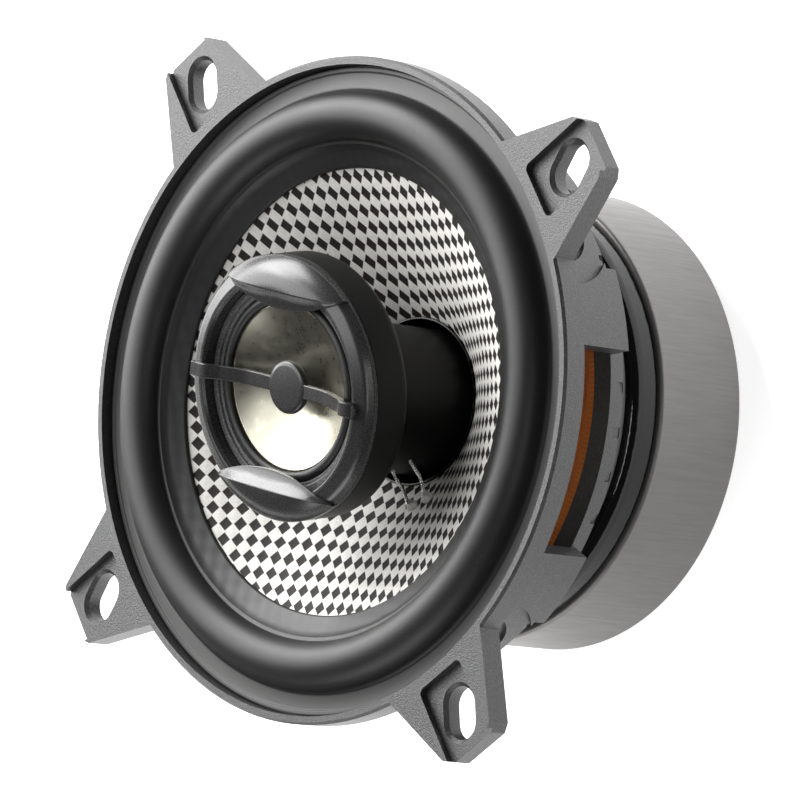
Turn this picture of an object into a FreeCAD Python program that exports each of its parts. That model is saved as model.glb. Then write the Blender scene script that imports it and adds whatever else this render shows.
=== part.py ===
import FreeCAD, Part
import math
import os

# Coaxial car speaker, about 100 mm class.  Millimetres.
# The speaker's axis is +Z and its front faces up.  The origin is the centre of the
# plane where the back of the mounting flange seats on the door.

V = FreeCAD.Vector

# ---- driving dimensions -------------------------------------------------------------
# Basket rim and mounting ears
RIM_R = 51.0
BAND_R = 49.7
FLANGE_T = 4.0
SHELF_Z = 1.2
BARREL_R = 46.0
SPOKE_IN_R = 43.2
EAR_ANGLE = 45.0
EAR_END_R = 64.0
EAR_BASE_HALF = 10.2
EAR_END_HALF = 5.2
EAR_CORNER = 1.0
POCKET_HALF = 4.7
POCKET_IN_R = 51.4
POCKET_DEPTH = 1.15
SLOT_X = 41.0
SLOT_Y = 41.0
SLOT_W = 5.4
SLOT_L = 8.0
SLOT_LEAN = 70.0
SLOT_CHAMFER = 0.6

# Basket windows, spokes and bowl
WINDOW_HALF = 20.0
SPOKE_END_Z = -15.0
SPOKE_NOTCH_Z = -13.0
SPOKE_NOTCH_HALF = 9.0
SCALLOP_Z = -4.5
SCALLOP_R = (10.6, 6.8)
SCALLOP_DEPTH = (0.7, 1.4)
RING_R = 43.0
RING_TOP_Z = -14.2
RING_END_Z = -16.8
LEDGE_Z = -17.3
BOWL_R = 33.6
VENT_NOTCHES = 40

# Magnet system
PLATE_Z = -27.5
PLATE_T = 5.5
PLATE_R = 35.2
PLATE_ROUND = 3.5
GAP_R = 14.0
MAGNET_R = 36.1
MAGNET_BORE = 17.0
MAGNET_T = 18.0
MAGNET_CHAMFER = 0.8
YOKE_R = 30.0
YOKE_T = 4.5
POLE_R = 12.3
BOLT_R = 2.5
BOLT_HEAD_R = 5.0

# Woofer moving parts
COIL_R = 13.0
FORMER_T = 0.25
NECK_Z = -16.2
CONE_EDGE_R = 38.2
CONE_MID_R = 24.5
CONE_MID_Z = -6.3
CONE_EDGE_Z = 2.0
CONE_T = 0.7
WEAVE_R = 34.2
ROLL_R = 42.0
ROLL_HALF = 4.0
RUBBER_T = 0.7
SPIDER_T = 0.5
SPIDER_WAVE = 1.1
SPIDER_WAVES = 5
SPIDER_OUT_R = 39.3
SPIDER_FLAT_R = 35.4
SPIDER_IN_Z = -20.2
SOLDER_R = 17.2
SOLDER_AT = (-62, -50)
SOLDER_BALL = 0.75
SOLDER_LIFT = 0.55

# Tweeter head, in its own frame: origin on the swivel axis, +Z out of the dome
PIVOT_Z = 8.8
HEAD_TILT = 11.0
HEAD_R = 20.3
SEAT_R = 14.0
SEAT_GAP = 0.3
HEAD_WALL = 1.5
POST_R = 11.4
STUD_R = 1.6
DOME_R = 12.8
DOME_Z = 2.2
DOME_DEPTH = 3.2
DOME_T = 0.3
FACE_R = 16.3
CREST_R = 17.3
CREST_Z = 4.8
GUARD_T = 1.0
DISC_R = 4.1
BAR_HALF = 1.1
TW_COIL_R = 10.0

# Terminal panel side (-X)
PANEL_X = -45.2
BLOCK_HALF_Y = 8.0
RIVET_Y = 6.0
POSITIVE_Y = -2.6
POSITIVE_HALF = 1.95
NEGATIVE_Y = 2.8
NEGATIVE_HALF = 1.15
CAP_R = 4.0
CAP_LEN = 15.0
CAP_X = -41.6
CAP_Z = -24.75

# Derived levels
BAND_TOP = FLANGE_T
PLATE_BACK = PLATE_Z - PLATE_T
MAGNET_BACK = PLATE_BACK - MAGNET_T
BACK_Z = MAGNET_BACK - YOKE_T
FLANGE_TOP = SHELF_Z + RUBBER_T
JOINT_GAP = 0.05


# ---- shape helpers -------------------------------------------------------------------
def polar(radius, degrees, z=0.0):
    a = math.radians(degrees)
    return V(radius * math.cos(a), radius * math.sin(a), z)


def outline_edges(points):
    """Edges through (r, z) points; a point with a third value is the middle of an arc."""
    edges = []
    start = points[0]
    index = 1
    closed = points + [points[0]]
    while index < len(closed):
        here = closed[index]
        a = V(start[0], 0, start[1])
        if len(here) == 3:
            end = closed[index + 1]
            middle = V(here[0], 0, here[1])
            edges.append(Part.Arc(a, middle, V(end[0], 0, end[1])).toShape())
            index += 2
        else:
            end = here
            edges.append(Part.LineSegment(a, V(end[0], 0, end[1])).toShape())
            index += 1
        start = end
    return edges


def turned(points):
    """Solid of revolution about Z of a closed outline of (r, z) points."""
    face = Part.Face(Part.Wire(outline_edges(points)))
    return face.revolve(V(0, 0, 0), V(0, 0, 1), 360)


def ring(r_in, r_out, z_low, z_high):
    return turned([(r_in, z_low), (r_out, z_low), (r_out, z_high), (r_in, z_high)])


def cylinder(radius, z_low, z_high):
    return Part.makeCylinder(radius, z_high - z_low, V(0, 0, z_low))


def box(x0, x1, y0, y1, z0, z1):
    return Part.makeBox(x1 - x0, y1 - y0, z1 - z0, V(x0, y0, z0))


def prism(points, z_low, z_high):
    """Upright prism over a closed list of (x, y) points."""
    loop = [V(x, y, z_low) for x, y in points]
    face = Part.Face(Part.makePolygon(loop + [loop[0]]))
    return face.extrude(V(0, 0, z_high - z_low))


def turned_to(shape, degrees):
    """A copy of the shape swung about Z."""
    copy = shape.copy()
    copy.rotate(V(0, 0, 0), V(0, 0, 1), degrees)
    return copy


def mirrored_xy(shape):
    """The shape and its mirror images, so that it stands in all four quadrants."""
    right = [shape, shape.mirror(V(0, 0, 0), V(0, 1, 0))]
    left = [s.mirror(V(0, 0, 0), V(1, 0, 0)) for s in right]
    return right + left


def sector(half_angle, at, z_low, z_high, reach=70.0):
    """A wedge from the axis, half_angle each side of the direction at."""
    tip = reach / math.cos(math.radians(half_angle))
    a = polar(tip, at - half_angle)
    b = polar(tip, at + half_angle)
    return prism([(0, 0), (a.x, a.y), (b.x, b.y)], z_low, z_high)


def tangent_path(points):
    """Straight runs joined by the largest tangent arcs that the runs allow."""
    pts = [V(*p) for p in points]
    edges = []
    start = pts[0]
    for before, corner, after in zip(pts, pts[1:], pts[2:]):
        back = before - corner
        ahead = after - corner
        turn = math.pi - back.getAngle(ahead)
        setback = 0.45 * min(back.Length, ahead.Length)
        radius = setback / math.tan(turn / 2)
        print("bend radius", round(radius, 2))
        back.normalize()
        ahead.normalize()
        arc_in = corner + back * setback
        arc_out = corner + ahead * setback
        bisector = back + ahead
        bisector.normalize()
        middle = corner + bisector * (radius / math.cos(turn / 2) - radius)
        edges.append(Part.LineSegment(start, arc_in).toShape())
        edges.append(Part.Arc(arc_in, middle, arc_out).toShape())
        start = arc_out
    edges.append(Part.LineSegment(start, pts[-1]).toShape())
    return Part.Wire(edges)


def tube_along(points, radius):
    """Round cord along a tangent-arc path."""
    path = tangent_path(points)
    first = V(*points[1]) - V(*points[0])
    circle = Part.makeCircle(radius, V(*points[0]), first)
    solid = path.makePipeShell([Part.Wire(circle)], True, True)
    print("cord length", round(path.Length, 1), "volume ratio",
          round(solid.Volume / (math.pi * radius ** 2 * path.Length), 3))
    return solid


# ---- woofer curves -------------------------------------------------------------------
def cone_height(radius):
    """Top of the cone at a radius, on the circle through its neck, middle and edge."""
    arc = Part.Arc(V(COIL_R, 0, NECK_Z), V(CONE_MID_R, 0, CONE_MID_Z), V(CONE_EDGE_R, 0, CONE_EDGE_Z))
    circle = arc.toShape().Curve
    centre = circle.Center
    return centre.z + math.sqrt(circle.Radius ** 2 - (radius - centre.x) ** 2)


# ---- basket --------------------------------------------------------------------------
def ear_blank():
    """One tapered mounting ear along +X, before it is swung to its place."""
    inner = RIM_R - 3.0
    grow = EAR_BASE_HALF + (EAR_BASE_HALF - EAR_END_HALF) * 3.0 / (EAR_END_R - RIM_R)
    points = [(inner, -grow), (EAR_END_R - EAR_CORNER, -EAR_END_HALF - 0.3), (EAR_END_R, -EAR_END_HALF + EAR_CORNER)]
    points += [(x, -y) for x, y in reversed(points)]
    return prism(points, 0, FLANGE_T)


def ear_pocket():
    """Channel round the screw slot, open at the ear's end, with rounded inner corners."""
    pocket = box(POCKET_IN_R, EAR_END_R + 2, -POCKET_HALF, POCKET_HALF, FLANGE_T - POCKET_DEPTH, FLANGE_T + 1)
    corners = [e for e in pocket.Edges if abs(e.BoundBox.XMax - POCKET_IN_R) < 0.01 and e.BoundBox.ZLength > 1]
    return pocket.makeFillet(1.0, corners)


def slot_cutter(width, length, z_low, z_high, grow=0.0):
    """Round-ended slot in the +X +Y quadrant; grow widens its top for an edge chamfer."""
    straight = (length - width) / 2
    r = width / 2
    parts = [box(-straight, straight, -r, r, z_low, z_high)]
    for x in (-straight, straight):
        if grow:
            parts.append(Part.makeCone(r, r + grow, z_high - z_low, V(x, 0, z_low)))
        else:
            parts.append(Part.makeCylinder(r, z_high - z_low, V(x, 0, z_low)))
    if grow:
        side = [(-r, z_low), (r, z_low), (r + grow, z_high), (-r - grow, z_high)]
        loop = [V(-straight, y, z) for y, z in side]
        face = Part.Face(Part.makePolygon(loop + [loop[0]]))
        parts[0] = face.extrude(V(2 * straight, 0, 0))
    cutter = parts[0].multiFuse(parts[1:])
    cutter.rotate(V(0, 0, 0), V(0, 0, 1), SLOT_LEAN)
    cutter.translate(V(SLOT_X, SLOT_Y, 0))
    return cutter


def rim_and_shelf():
    """Front band, the shelf that the surround is glued to, and the flange behind it."""
    return turned([(SPOKE_IN_R + 1.4, 0), (RIM_R, 0), (RIM_R, BAND_TOP - 0.4), (RIM_R - 0.4, BAND_TOP),
                   (BAND_R, BAND_TOP), (BAND_R, SHELF_Z), (SPOKE_IN_R + 1.4, SHELF_Z)])


def spokes():
    """Four broad spokes: the barrel wall with its windows and stepped round scallops cut."""
    wall = ring(SPOKE_IN_R, BARREL_R, SPOKE_END_Z, 0.2)
    cuts = [sector(WINDOW_HALF, at, SPOKE_END_Z - 1, 0.0) for at in (0, 90, 180, 270)]
    for at in (EAR_ANGLE, 180 - EAR_ANGLE, 180 + EAR_ANGLE, -EAR_ANGLE):
        notch = sector(SPOKE_NOTCH_HALF, at, SPOKE_END_Z - 1, SPOKE_NOTCH_Z)
        cuts.append(notch.cut(cylinder(RING_R, SPOKE_END_Z - 2, 0)))
        for radius, depth in zip(SCALLOP_R, SCALLOP_DEPTH):
            bore = Part.makeCylinder(radius, 20, V(40, 0, SCALLOP_Z), V(1, 0, 0))
            bore = bore.cut(cylinder(BARREL_R - depth, -40, 20)).cut(cylinder(80, 0, 20))
            cuts.append(turned_to(bore, at))
    return wall.cut(cuts)


def bowl():
    """Lower ring with its spider ledge, and the bowl down to the front plate."""
    shape = turned([(RING_R, RING_TOP_Z), (RING_R, RING_END_Z), (BOWL_R, PLATE_Z), (17.0, PLATE_Z),
                    (17.0, PLATE_Z + 1.8), (32.4, PLATE_Z + 1.8), (35.6, -22.0), (35.6, LEDGE_Z),
                    (39.6, LEDGE_Z), (39.6, RING_TOP_Z)])
    notch = box(RING_R - 1.0, RING_R + 1, -0.8, 0.8, RING_END_Z - 1, RING_END_Z + 0.9)
    step = 360.0 / VENT_NOTCHES
    return shape.cut([turned_to(notch, (i + 0.5) * step) for i in range(VENT_NOTCHES)])


def basket():
    ears = [turned_to(ear_blank(), a) for a in (EAR_ANGLE, 180 - EAR_ANGLE, 180 + EAR_ANGLE, -EAR_ANGLE)]
    inside = cylinder(BAND_R, -1, FLANGE_T + 1)
    ears = [ear.cut(inside) for ear in ears]
    panel = box(PANEL_X, PANEL_X + 2.2, -9.5, 9.5, RING_TOP_Z - 1.0, 0.6)
    web = box(PANEL_X, -RING_R + 1.6, -9.5, 9.5, RING_TOP_Z - 2.0, RING_TOP_Z)
    body = rim_and_shelf().multiFuse(ears + [spokes(), bowl(), panel, web])
    pockets = [turned_to(ear_pocket(), a) for a in (EAR_ANGLE, 180 - EAR_ANGLE, 180 + EAR_ANGLE, -EAR_ANGLE)]
    through = slot_cutter(SLOT_W, SLOT_L, -1, FLANGE_T + 1)
    floor = FLANGE_T - POCKET_DEPTH
    flare = slot_cutter(SLOT_W, SLOT_L, floor - SLOT_CHAMFER, floor + 0.01, SLOT_CHAMFER)
    holes = mirrored_xy(through) + mirrored_xy(flare)
    rivet_holes = [Part.makeCylinder(1.3, 8, V(PANEL_X - 3, y, -6.5), V(1, 0, 0)) for y in (-RIVET_Y, RIVET_Y)]
    screws = [Part.makeCylinder(1.7, 6, polar(25.0, a, PLATE_Z - 1)) for a in (45, 135, 225, 315)]
    return body.cut(pockets + holes + rivet_holes + screws).removeSplitter()


def basket_screws():
    """Four countersunk screws that hold the basket's floor on the front plate."""
    heads = []
    for at in (45, 135, 225, 315):
        head = Part.makeCylinder(3.0, 1.4, polar(25.0, at, PLATE_Z + 1.8))
        shank = Part.makeCylinder(1.6, 6.0, polar(25.0, at, PLATE_Z - 4.2))
        cross = Part.makeBox(3.2, 0.7, 0.8, polar(25.0, at, PLATE_Z + 2.5) - V(1.6, 0.35, 0))
        heads.append(head.fuse(shank).cut(cross))
    return heads


# ---- magnet system -------------------------------------------------------------------
def front_plate():
    z = PLATE_Z
    r = PLATE_R
    f = PLATE_ROUND
    k = f * (1 - math.sqrt(0.5))
    plate = turned([(GAP_R, PLATE_BACK), (r, PLATE_BACK), (r, z - f), (r - k, z - k, "arc"), (r - f, z),
                    (GAP_R, z)])
    holes = [Part.makeCylinder(1.65, 5, polar(25.0, a, PLATE_Z - 4.4)) for a in (45, 135, 225, 315)]
    return plate.cut(holes)


def magnet():
    c = MAGNET_CHAMFER
    return turned([(MAGNET_BORE, MAGNET_BACK), (MAGNET_R - c, MAGNET_BACK), (MAGNET_R, MAGNET_BACK + c),
                   (MAGNET_R, PLATE_BACK - c), (MAGNET_R - c, PLATE_BACK), (MAGNET_BORE, PLATE_BACK)])


def yoke():
    """Back plate and pole in one forging, bored for the post's bolt."""
    body = turned([(BOLT_R + 0.2, BACK_Z), (YOKE_R - 1.2, BACK_Z), (YOKE_R, BACK_Z + 1.2),
                   (YOKE_R, MAGNET_BACK), (POLE_R, MAGNET_BACK), (POLE_R, PLATE_Z - 0.4),
                   (POLE_R - 0.4, PLATE_Z), (BOLT_R + 0.2, PLATE_Z)])
    return body.cut(cylinder(BOLT_HEAD_R + 0.4, BACK_Z - 1, BACK_Z + 3.4))


def post_bolt():
    head = cylinder(BOLT_HEAD_R, BACK_Z + 0.3, BACK_Z + 3.4)
    socket = prism([(polar(2.6, 60 * i).x, polar(2.6, 60 * i).y) for i in range(6)], BACK_Z, BACK_Z + 2.2)
    return head.fuse(cylinder(BOLT_R, BACK_Z + 3.4, PLATE_Z + 7.5)).cut(socket)


def tweeter_post():
    """Hollow post on the pole, dished at the top as the seat of the swivelling head."""
    dish = SEAT_R + SEAT_GAP
    lip = PIVOT_Z - math.sqrt(dish ** 2 - POST_R ** 2)
    middle = dish * math.sin(math.radians(26))
    body = turned([(0, PLATE_Z), (POST_R - 0.6, PLATE_Z), (POST_R, PLATE_Z + 0.6), (POST_R, lip),
                   (middle, PIVOT_Z - dish * math.cos(math.radians(26)), "arc"), (0, PIVOT_Z - dish)])
    hollow = ring(BOLT_R + 3.0, POST_R - 1.6, PLATE_Z + 2.0, PIVOT_Z - dish - 2.0)
    bolt = cylinder(BOLT_R + 0.05, PLATE_Z - 1, PLATE_Z + 7.6)
    stud = cylinder(STUD_R + 0.05, PIVOT_Z - dish - 5.0, PIVOT_Z)
    return body.cut([hollow, bolt, stud])


def head_retainer():
    """Stud and dished washer that clamp the head down on the post's seat."""
    outer = SEAT_R - HEAD_WALL - SEAT_GAP
    inner = outer - 0.8
    a = math.radians(30)
    b = math.radians(15)
    washer = turned([(0, -outer), (outer * math.sin(b), -outer * math.cos(b), "arc"),
                     (outer * math.sin(a), -outer * math.cos(a)), (inner * math.sin(a), -inner * math.cos(a)),
                     (inner * math.sin(b), -inner * math.cos(b), "arc"), (0, -inner)])
    washer.translate(V(0, 0, PIVOT_Z))
    foot = PIVOT_Z - SEAT_R - SEAT_GAP - 4.9
    stud = cylinder(STUD_R, foot, PIVOT_Z - inner - 0.2)
    nut_points = [(polar(3.0, 60 * i).x, polar(3.0, 60 * i).y) for i in range(6)]
    nut = prism(nut_points, PIVOT_Z - inner - 0.1, PIVOT_Z - inner + 1.3)
    return washer.multiFuse([stud, nut])


# ---- woofer moving parts -------------------------------------------------------------
def cone():
    r0 = COIL_R + JOINT_GAP
    z0 = cone_height(r0)
    return turned([(r0, z0), (CONE_MID_R, CONE_MID_Z, "arc"), (CONE_EDGE_R, CONE_EDGE_Z),
                   (CONE_EDGE_R, CONE_EDGE_Z - CONE_T), (CONE_MID_R, CONE_MID_Z - CONE_T, "arc"),
                   (r0, z0 - CONE_T)])


def surround():
    """Half-roll rubber edge: glued flange, roll, and a lip that lies on the cone."""
    lip_mid = (WEAVE_R + ROLL_R - ROLL_HALF) / 2
    lip = 0.5
    lip_in = cone_height(WEAVE_R) + JOINT_GAP
    lip_half = cone_height(lip_mid) + JOINT_GAP
    lip_out_r = ROLL_R - ROLL_HALF
    lip_out = cone_height(lip_out_r) + JOINT_GAP
    t = RUBBER_T
    base = FLANGE_TOP
    rise = ROLL_HALF - 0.2
    return turned([(BAND_R - 0.2, SHELF_Z), (BAND_R - 0.2, base), (ROLL_R + ROLL_HALF, base),
                   (ROLL_R, base + rise, "arc"), (lip_out_r, lip_out + lip),
                   (lip_mid, lip_half + lip, "arc"), (WEAVE_R, lip_in + lip), (WEAVE_R, lip_in),
                   (lip_mid, lip_half, "arc"), (lip_out_r, lip_out),
                   (CONE_EDGE_R + JOINT_GAP, CONE_EDGE_Z + 2 * JOINT_GAP), (lip_out_r + t, CONE_EDGE_Z + 0.2),
                   (ROLL_R, base + rise - t, "arc"), (ROLL_R + ROLL_HALF - t, SHELF_Z)])


def spider():
    """Corrugated centring disc, cupped down towards the coil."""
    span = SPIDER_FLAT_R - 15.2
    top = LEDGE_Z + SPIDER_T
    quarters = SPIDER_WAVES * 4

    def level(r):
        return SPIDER_IN_Z + (top - SPIDER_IN_Z) * (r - 15.2) / span

    radii = [15.2 + span * i / quarters for i in range(quarters + 1)]
    wave = [SPIDER_WAVE * math.sin(math.pi * i / 2) for i in range(quarters + 1)]
    upper = [(r, level(r) + w) for r, w in zip(radii, wave)]
    lower = [(r, z - SPIDER_T) for r, z in upper]
    return turned([(COIL_R + JOINT_GAP, SPIDER_IN_Z)] + upper + [(SPIDER_OUT_R, top), (SPIDER_OUT_R, LEDGE_Z)]
                  + lower[::-1] + [(COIL_R + JOINT_GAP, SPIDER_IN_Z - SPIDER_T)])


def solder_joints():
    """Two solder joints and their glue pad on the cone's front, beside the neck."""
    joints = []
    for at in SOLDER_AT:
        centre = polar(SOLDER_R, at, cone_height(SOLDER_R) + SOLDER_LIFT)
        joints.append(Part.makeSphere(SOLDER_BALL, centre).cut(cone()))
    return joints


# ---- tweeter head (own frame) ----------------------------------------------------------
def in_head(shape):
    """Tilts a piece drawn in the head's frame and puts it on the swivel axis."""
    copy = shape.copy()
    copy.rotate(V(0, 0, 0), V(1, 0, 0), HEAD_TILT)
    copy.translate(V(0, 0, PIVOT_Z))
    return copy


def sphere_point(radius, degrees_from_down):
    a = math.radians(degrees_from_down)
    return (radius * math.sin(a), -radius * math.cos(a))


def housing():
    """Rear shell of the head: straight side, shoulder and ball-shaped seat with a hole."""
    inner_r = SEAT_R - HEAD_WALL
    mid_out = sphere_point(SEAT_R, 46) + ("arc",)
    mid_in = sphere_point(inner_r, 46) + ("arc",)
    return turned([(HEAD_R, 2.4), (HEAD_R, -3.2), (HEAD_R - 1.0, -4.3), sphere_point(SEAT_R, 69), mid_out,
                   sphere_point(SEAT_R, 24), sphere_point(inner_r, 24), mid_in, sphere_point(inner_r, 69),
                   (HEAD_R - 2.2, -3.0), (HEAD_R - 1.5, -2.3), (HEAD_R - 1.5, 2.4)])


def bezel():
    """Front ring of the head, rounded over from its rim to the crest."""
    return turned([(HEAD_R, 2.45), (HEAD_R, 3.0), (19.3, 4.25, "arc"), (CREST_R, CREST_Z), (FACE_R + 0.4, 4.6),
                   (FACE_R + 0.05, 3.4), (FACE_R + 0.05, 1.4), (18.3, 1.4), (18.3, 2.45)])


def face_ring():
    """Grained inner ring in steps, that the dome's edge is glued to."""
    return turned([(12.3, 0.4), (FACE_R, 0.4), (FACE_R, 2.9), (15.1, 2.9), (15.1, 2.6), (14.4, 2.6),
                   (14.4, DOME_Z - 0.05), (13.2, DOME_Z - 0.05), (13.2, 1.0), (12.3, 1.0)])


def petal(side):
    """One lens-shaped petal over the bezel, curved like a shallow shell; side is 1 or -1."""
    shell = turned([(HEAD_R, 3.05), (HEAD_R, 3.9), (17.6, 6.0, "arc"), (14.2, 6.35), (12.3, 5.6),
                    (12.3, 4.95), (CREST_R - 0.4, CREST_Z + 0.1), (CREST_R, CREST_Z + 0.05),
                    (19.3, 4.3, "arc")])
    steps = 12
    half = 13.0
    inner = []
    for i in range(steps + 1):
        x = half - 2 * half * i / steps
        inner.append((x, side * (12.3 + 3.2 * (x / half) ** 2)))
    blade = [(-half, side * 30), (half, side * 30)] + inner
    return shell.common(prism(blade, 0, 10))


def bar():
    """Cross-bar that drops from the crest to the disc in front of the dome's centre."""
    low = 1.4
    high = CREST_Z + 0.1
    side = [(8.0, low), (14.8, 4.0), (16.1, high), (18.4, high), (18.4, high + 0.55), (15.8, high + GUARD_T),
            (14.2, high + GUARD_T - 0.5), (7.6, low + GUARD_T)]
    outline = side + [(-x, z) for x, z in reversed(side)]
    loop = [V(x, -BAR_HALF, z) for x, z in outline]
    face = Part.Face(Part.makePolygon(loop + [loop[0]]))
    return face.extrude(V(0, 2 * BAR_HALF, 0))


def dome_guard():
    """Petals, cross-bar and disc; the petals stand apart on the bezel."""
    disc = turned([(0, 1.3), (DISC_R - 0.3, 1.3), (DISC_R, 1.6), (DISC_R, 2.3), (DISC_R - 0.6, 2.75), (0, 2.9)])
    return [petal(1), petal(-1), bar().fuse(disc)]


def dome_level(radius):
    return DOME_Z - DOME_DEPTH + DOME_DEPTH * (radius / DOME_R) ** 2


def dome():
    """Inverted dome, a shallow dish that opens to the front."""
    centre = DOME_Z - DOME_DEPTH
    hub = 0.6
    half = DOME_R / 2
    return turned([(0, centre), (hub, dome_level(hub)), (half, dome_level(half), "arc"), (DOME_R, DOME_Z),
                   (DOME_R, DOME_Z - DOME_T), (half, dome_level(half) - DOME_T, "arc"),
                   (hub, dome_level(hub) - DOME_T), (0, centre - DOME_T)])


def dome_edge():
    """Small half-roll between the dome and the face ring."""
    return turned([(DOME_R + 0.02, DOME_Z - 0.02), (14.35, DOME_Z - 0.02), (14.35, DOME_Z + 0.15),
                   (13.6, DOME_Z + 0.6, "arc"), (DOME_R + 0.02, DOME_Z + 0.15)])


def tweeter_pot():
    """Steel pot round the small magnet, chamfered to clear the ball-shaped shell."""
    return turned([(0, -6.0), (10.4, -6.0), (12.1, -3.9), (12.1, 0.85), (11.4, 0.85), (11.4, -1.5),
                   (10.9, -1.5), (10.9, -4.9), (0, -4.9)])


def tweeter_formers():
    former = ring(TW_COIL_R - 0.25, TW_COIL_R - 0.05, -3.6, 0.5)
    coil = ring(TW_COIL_R, TW_COIL_R + 0.4, -3.4, -1.6)
    return former, coil


# ---- terminals, crossover and leads -----------------------------------------------------
def terminal_block():
    block = box(PANEL_X - 2.4, PANEL_X, -BLOCK_HALF_Y, BLOCK_HALF_Y, -11.5, -2.5)
    holes = [Part.makeCylinder(1.3, 8, V(PANEL_X - 4, y, -6.5), V(1, 0, 0)) for y in (-RIVET_Y, RIVET_Y)]
    pairs = ((POSITIVE_Y, POSITIVE_HALF), (NEGATIVE_Y, NEGATIVE_HALF))
    tabs = [box(PANEL_X - 1.6, PANEL_X - 0.8, y - w, y + w, -12, -4.5) for y, w in pairs]
    return block.cut(holes + tabs)


def terminal_tab(y, half_width):
    """Spade tab that points to the back, seated in the block."""
    tab = box(PANEL_X - 1.6, PANEL_X - 0.8, y - half_width, y + half_width, -19.0, -4.5)
    tip = box(PANEL_X - 3, PANEL_X, y + half_width - 0.6, y + half_width + 1, -20, -18.4)
    tip_far = box(PANEL_X - 3, PANEL_X, y - half_width - 1, y - half_width + 0.6, -20, -18.4)
    hole = Part.makeCylinder(0.6, 4, V(PANEL_X - 3, y, -16.0), V(1, 0, 0))
    return tab.cut([tip, tip_far, hole])


def terminal_rivets():
    rivets = []
    for y in (-RIVET_Y, RIVET_Y):
        shank = Part.makeCylinder(1.25, 4.6, V(PANEL_X - 2.4, y, -6.5), V(1, 0, 0))
        outer = Part.makeCylinder(1.9, 0.6, V(PANEL_X - 3.0, y, -6.5), V(1, 0, 0))
        inner = Part.makeCylinder(1.9, 0.6, V(PANEL_X + 2.2, y, -6.5), V(1, 0, 0))
        rivets.append(shank.multiFuse([outer, inner]))
    return rivets


def capacitor():
    """High-pass capacitor bedded along the bowl below the terminals."""
    half = CAP_LEN / 2
    body = Part.makeCylinder(CAP_R, CAP_LEN, V(CAP_X, -half, CAP_Z), V(0, 1, 0))
    groove = Part.makeTorus(CAP_R + 0.35, 0.6, V(CAP_X, half - 2.0, CAP_Z), V(0, 1, 0))
    return body.cut(groove)


def capacitor_leads():
    """Bare wires from the capacitor's ends up to the two tabs."""
    half = CAP_LEN / 2
    x = CAP_X
    tab_x = PANEL_X - 0.4
    leads = []
    for side, tab_y in ((-1, POSITIVE_Y - POSITIVE_HALF), (1, NEGATIVE_Y + NEGATIVE_HALF)):
        route = [(x, side * half, CAP_Z), (x, side * (half + 2.2), CAP_Z),
                 (x - 3.6, side * (half + 2.4), CAP_Z + 5.0), (tab_x - 0.4, side * 6.6, -16.6),
                 (tab_x, tab_y + side * 0.1, -15.6)]
        leads.append(tube_along(route, 0.35))
    return leads


def tinsel_lead(side):
    """Flexible lead from the terminal panel to the back of the cone."""
    r_end = 26.0
    end_z = cone_height(r_end) - CONE_T - 0.45
    route = [(PANEL_X + 2.45, side * 3.6, -10.5), (-40.6, side * 4.2, -11.8), (-37.4, side * 4.9, -13.4),
             (-34.0, side * 5.6, -13.3), (-31.0, side * 6.1, -11.6), (-28.2, side * 6.5, -8.9),
             (-25.4, side * 6.8, end_z)]
    return tube_along(route, 0.5)


def tweeter_leads():
    """Pair of thin wires from the post's side to the solder joints on the cone."""
    wires = []
    for at, bend in zip(SOLDER_AT, (-3, 4)):
        start = polar(POST_R + 0.05, at + bend, -9.5)
        out = polar(POST_R + 1.6, at + bend, -9.9)
        over = polar(POST_R + 3.4, at + bend * 0.6, -11.2)
        end = polar(SOLDER_R, at, cone_height(SOLDER_R) + SOLDER_LIFT + SOLDER_BALL + 0.4)
        wires.append(tube_along([tuple(start), tuple(out), tuple(over), tuple(end)], 0.3))
    return wires


# ---- write every piece -------------------------------------------------------------------
def compound(shapes):
    return Part.makeCompound(shapes) if isinstance(shapes, list) else shapes


def build():
    former, tw_coil = tweeter_formers()
    guard = [in_head(s) for s in dome_guard()]
    return {
        "basket": basket(),
        "basket_screws": basket_screws(),
        "front_plate": front_plate(),
        "magnet": magnet(),
        "yoke": yoke(),
        "post_bolt": post_bolt(),
        "tweeter_post": tweeter_post(),
        "head_retainer": head_retainer(),
        "cone": cone(),
        "surround": surround(),
        "spider": spider(),
        "coil_former": ring(COIL_R - FORMER_T, COIL_R, -35.0, NECK_Z + 0.5),
        "voice_coil": ring(COIL_R + 0.02, COIL_R + 0.5, -34.5, -26.5),
        "cone_solder_joints": solder_joints(),
        "tweeter_leads": tweeter_leads(),
        "terminal_block": terminal_block(),
        "terminal_positive": terminal_tab(POSITIVE_Y, POSITIVE_HALF),
        "terminal_negative": terminal_tab(NEGATIVE_Y, NEGATIVE_HALF),
        "terminal_rivets": terminal_rivets(),
        "capacitor": capacitor(),
        "capacitor_leads": capacitor_leads(),
        "tinsel_lead_positive": tinsel_lead(-1),
        "tinsel_lead_negative": tinsel_lead(1),
        "tweeter_housing": in_head(housing()),
        "tweeter_bezel": in_head(bezel()),
        "tweeter_face_ring": in_head(face_ring()),
        "dome_guard": guard,
        "tweeter_pot": in_head(tweeter_pot()),
        "tweeter_magnet": in_head(cylinder(8.6, -4.9, -3.1)),
        "tweeter_pole": in_head(cylinder(9.4, -3.1, -1.95)),
        "tweeter_dome": in_head(dome()),
        "tweeter_dome_edge": in_head(dome_edge()),
        "tweeter_coil_former": in_head(former),
        "tweeter_voice_coil": in_head(tw_coil),
    }


os.makedirs("parts", exist_ok=True)
for name, made in build().items():
    shape = compound(made)
    assert shape.isValid(), name
    shape.exportStep("parts/" + name + ".step")
    print(name, len(shape.Solids), round(shape.Volume, 1), shape.BoundBox)
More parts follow.
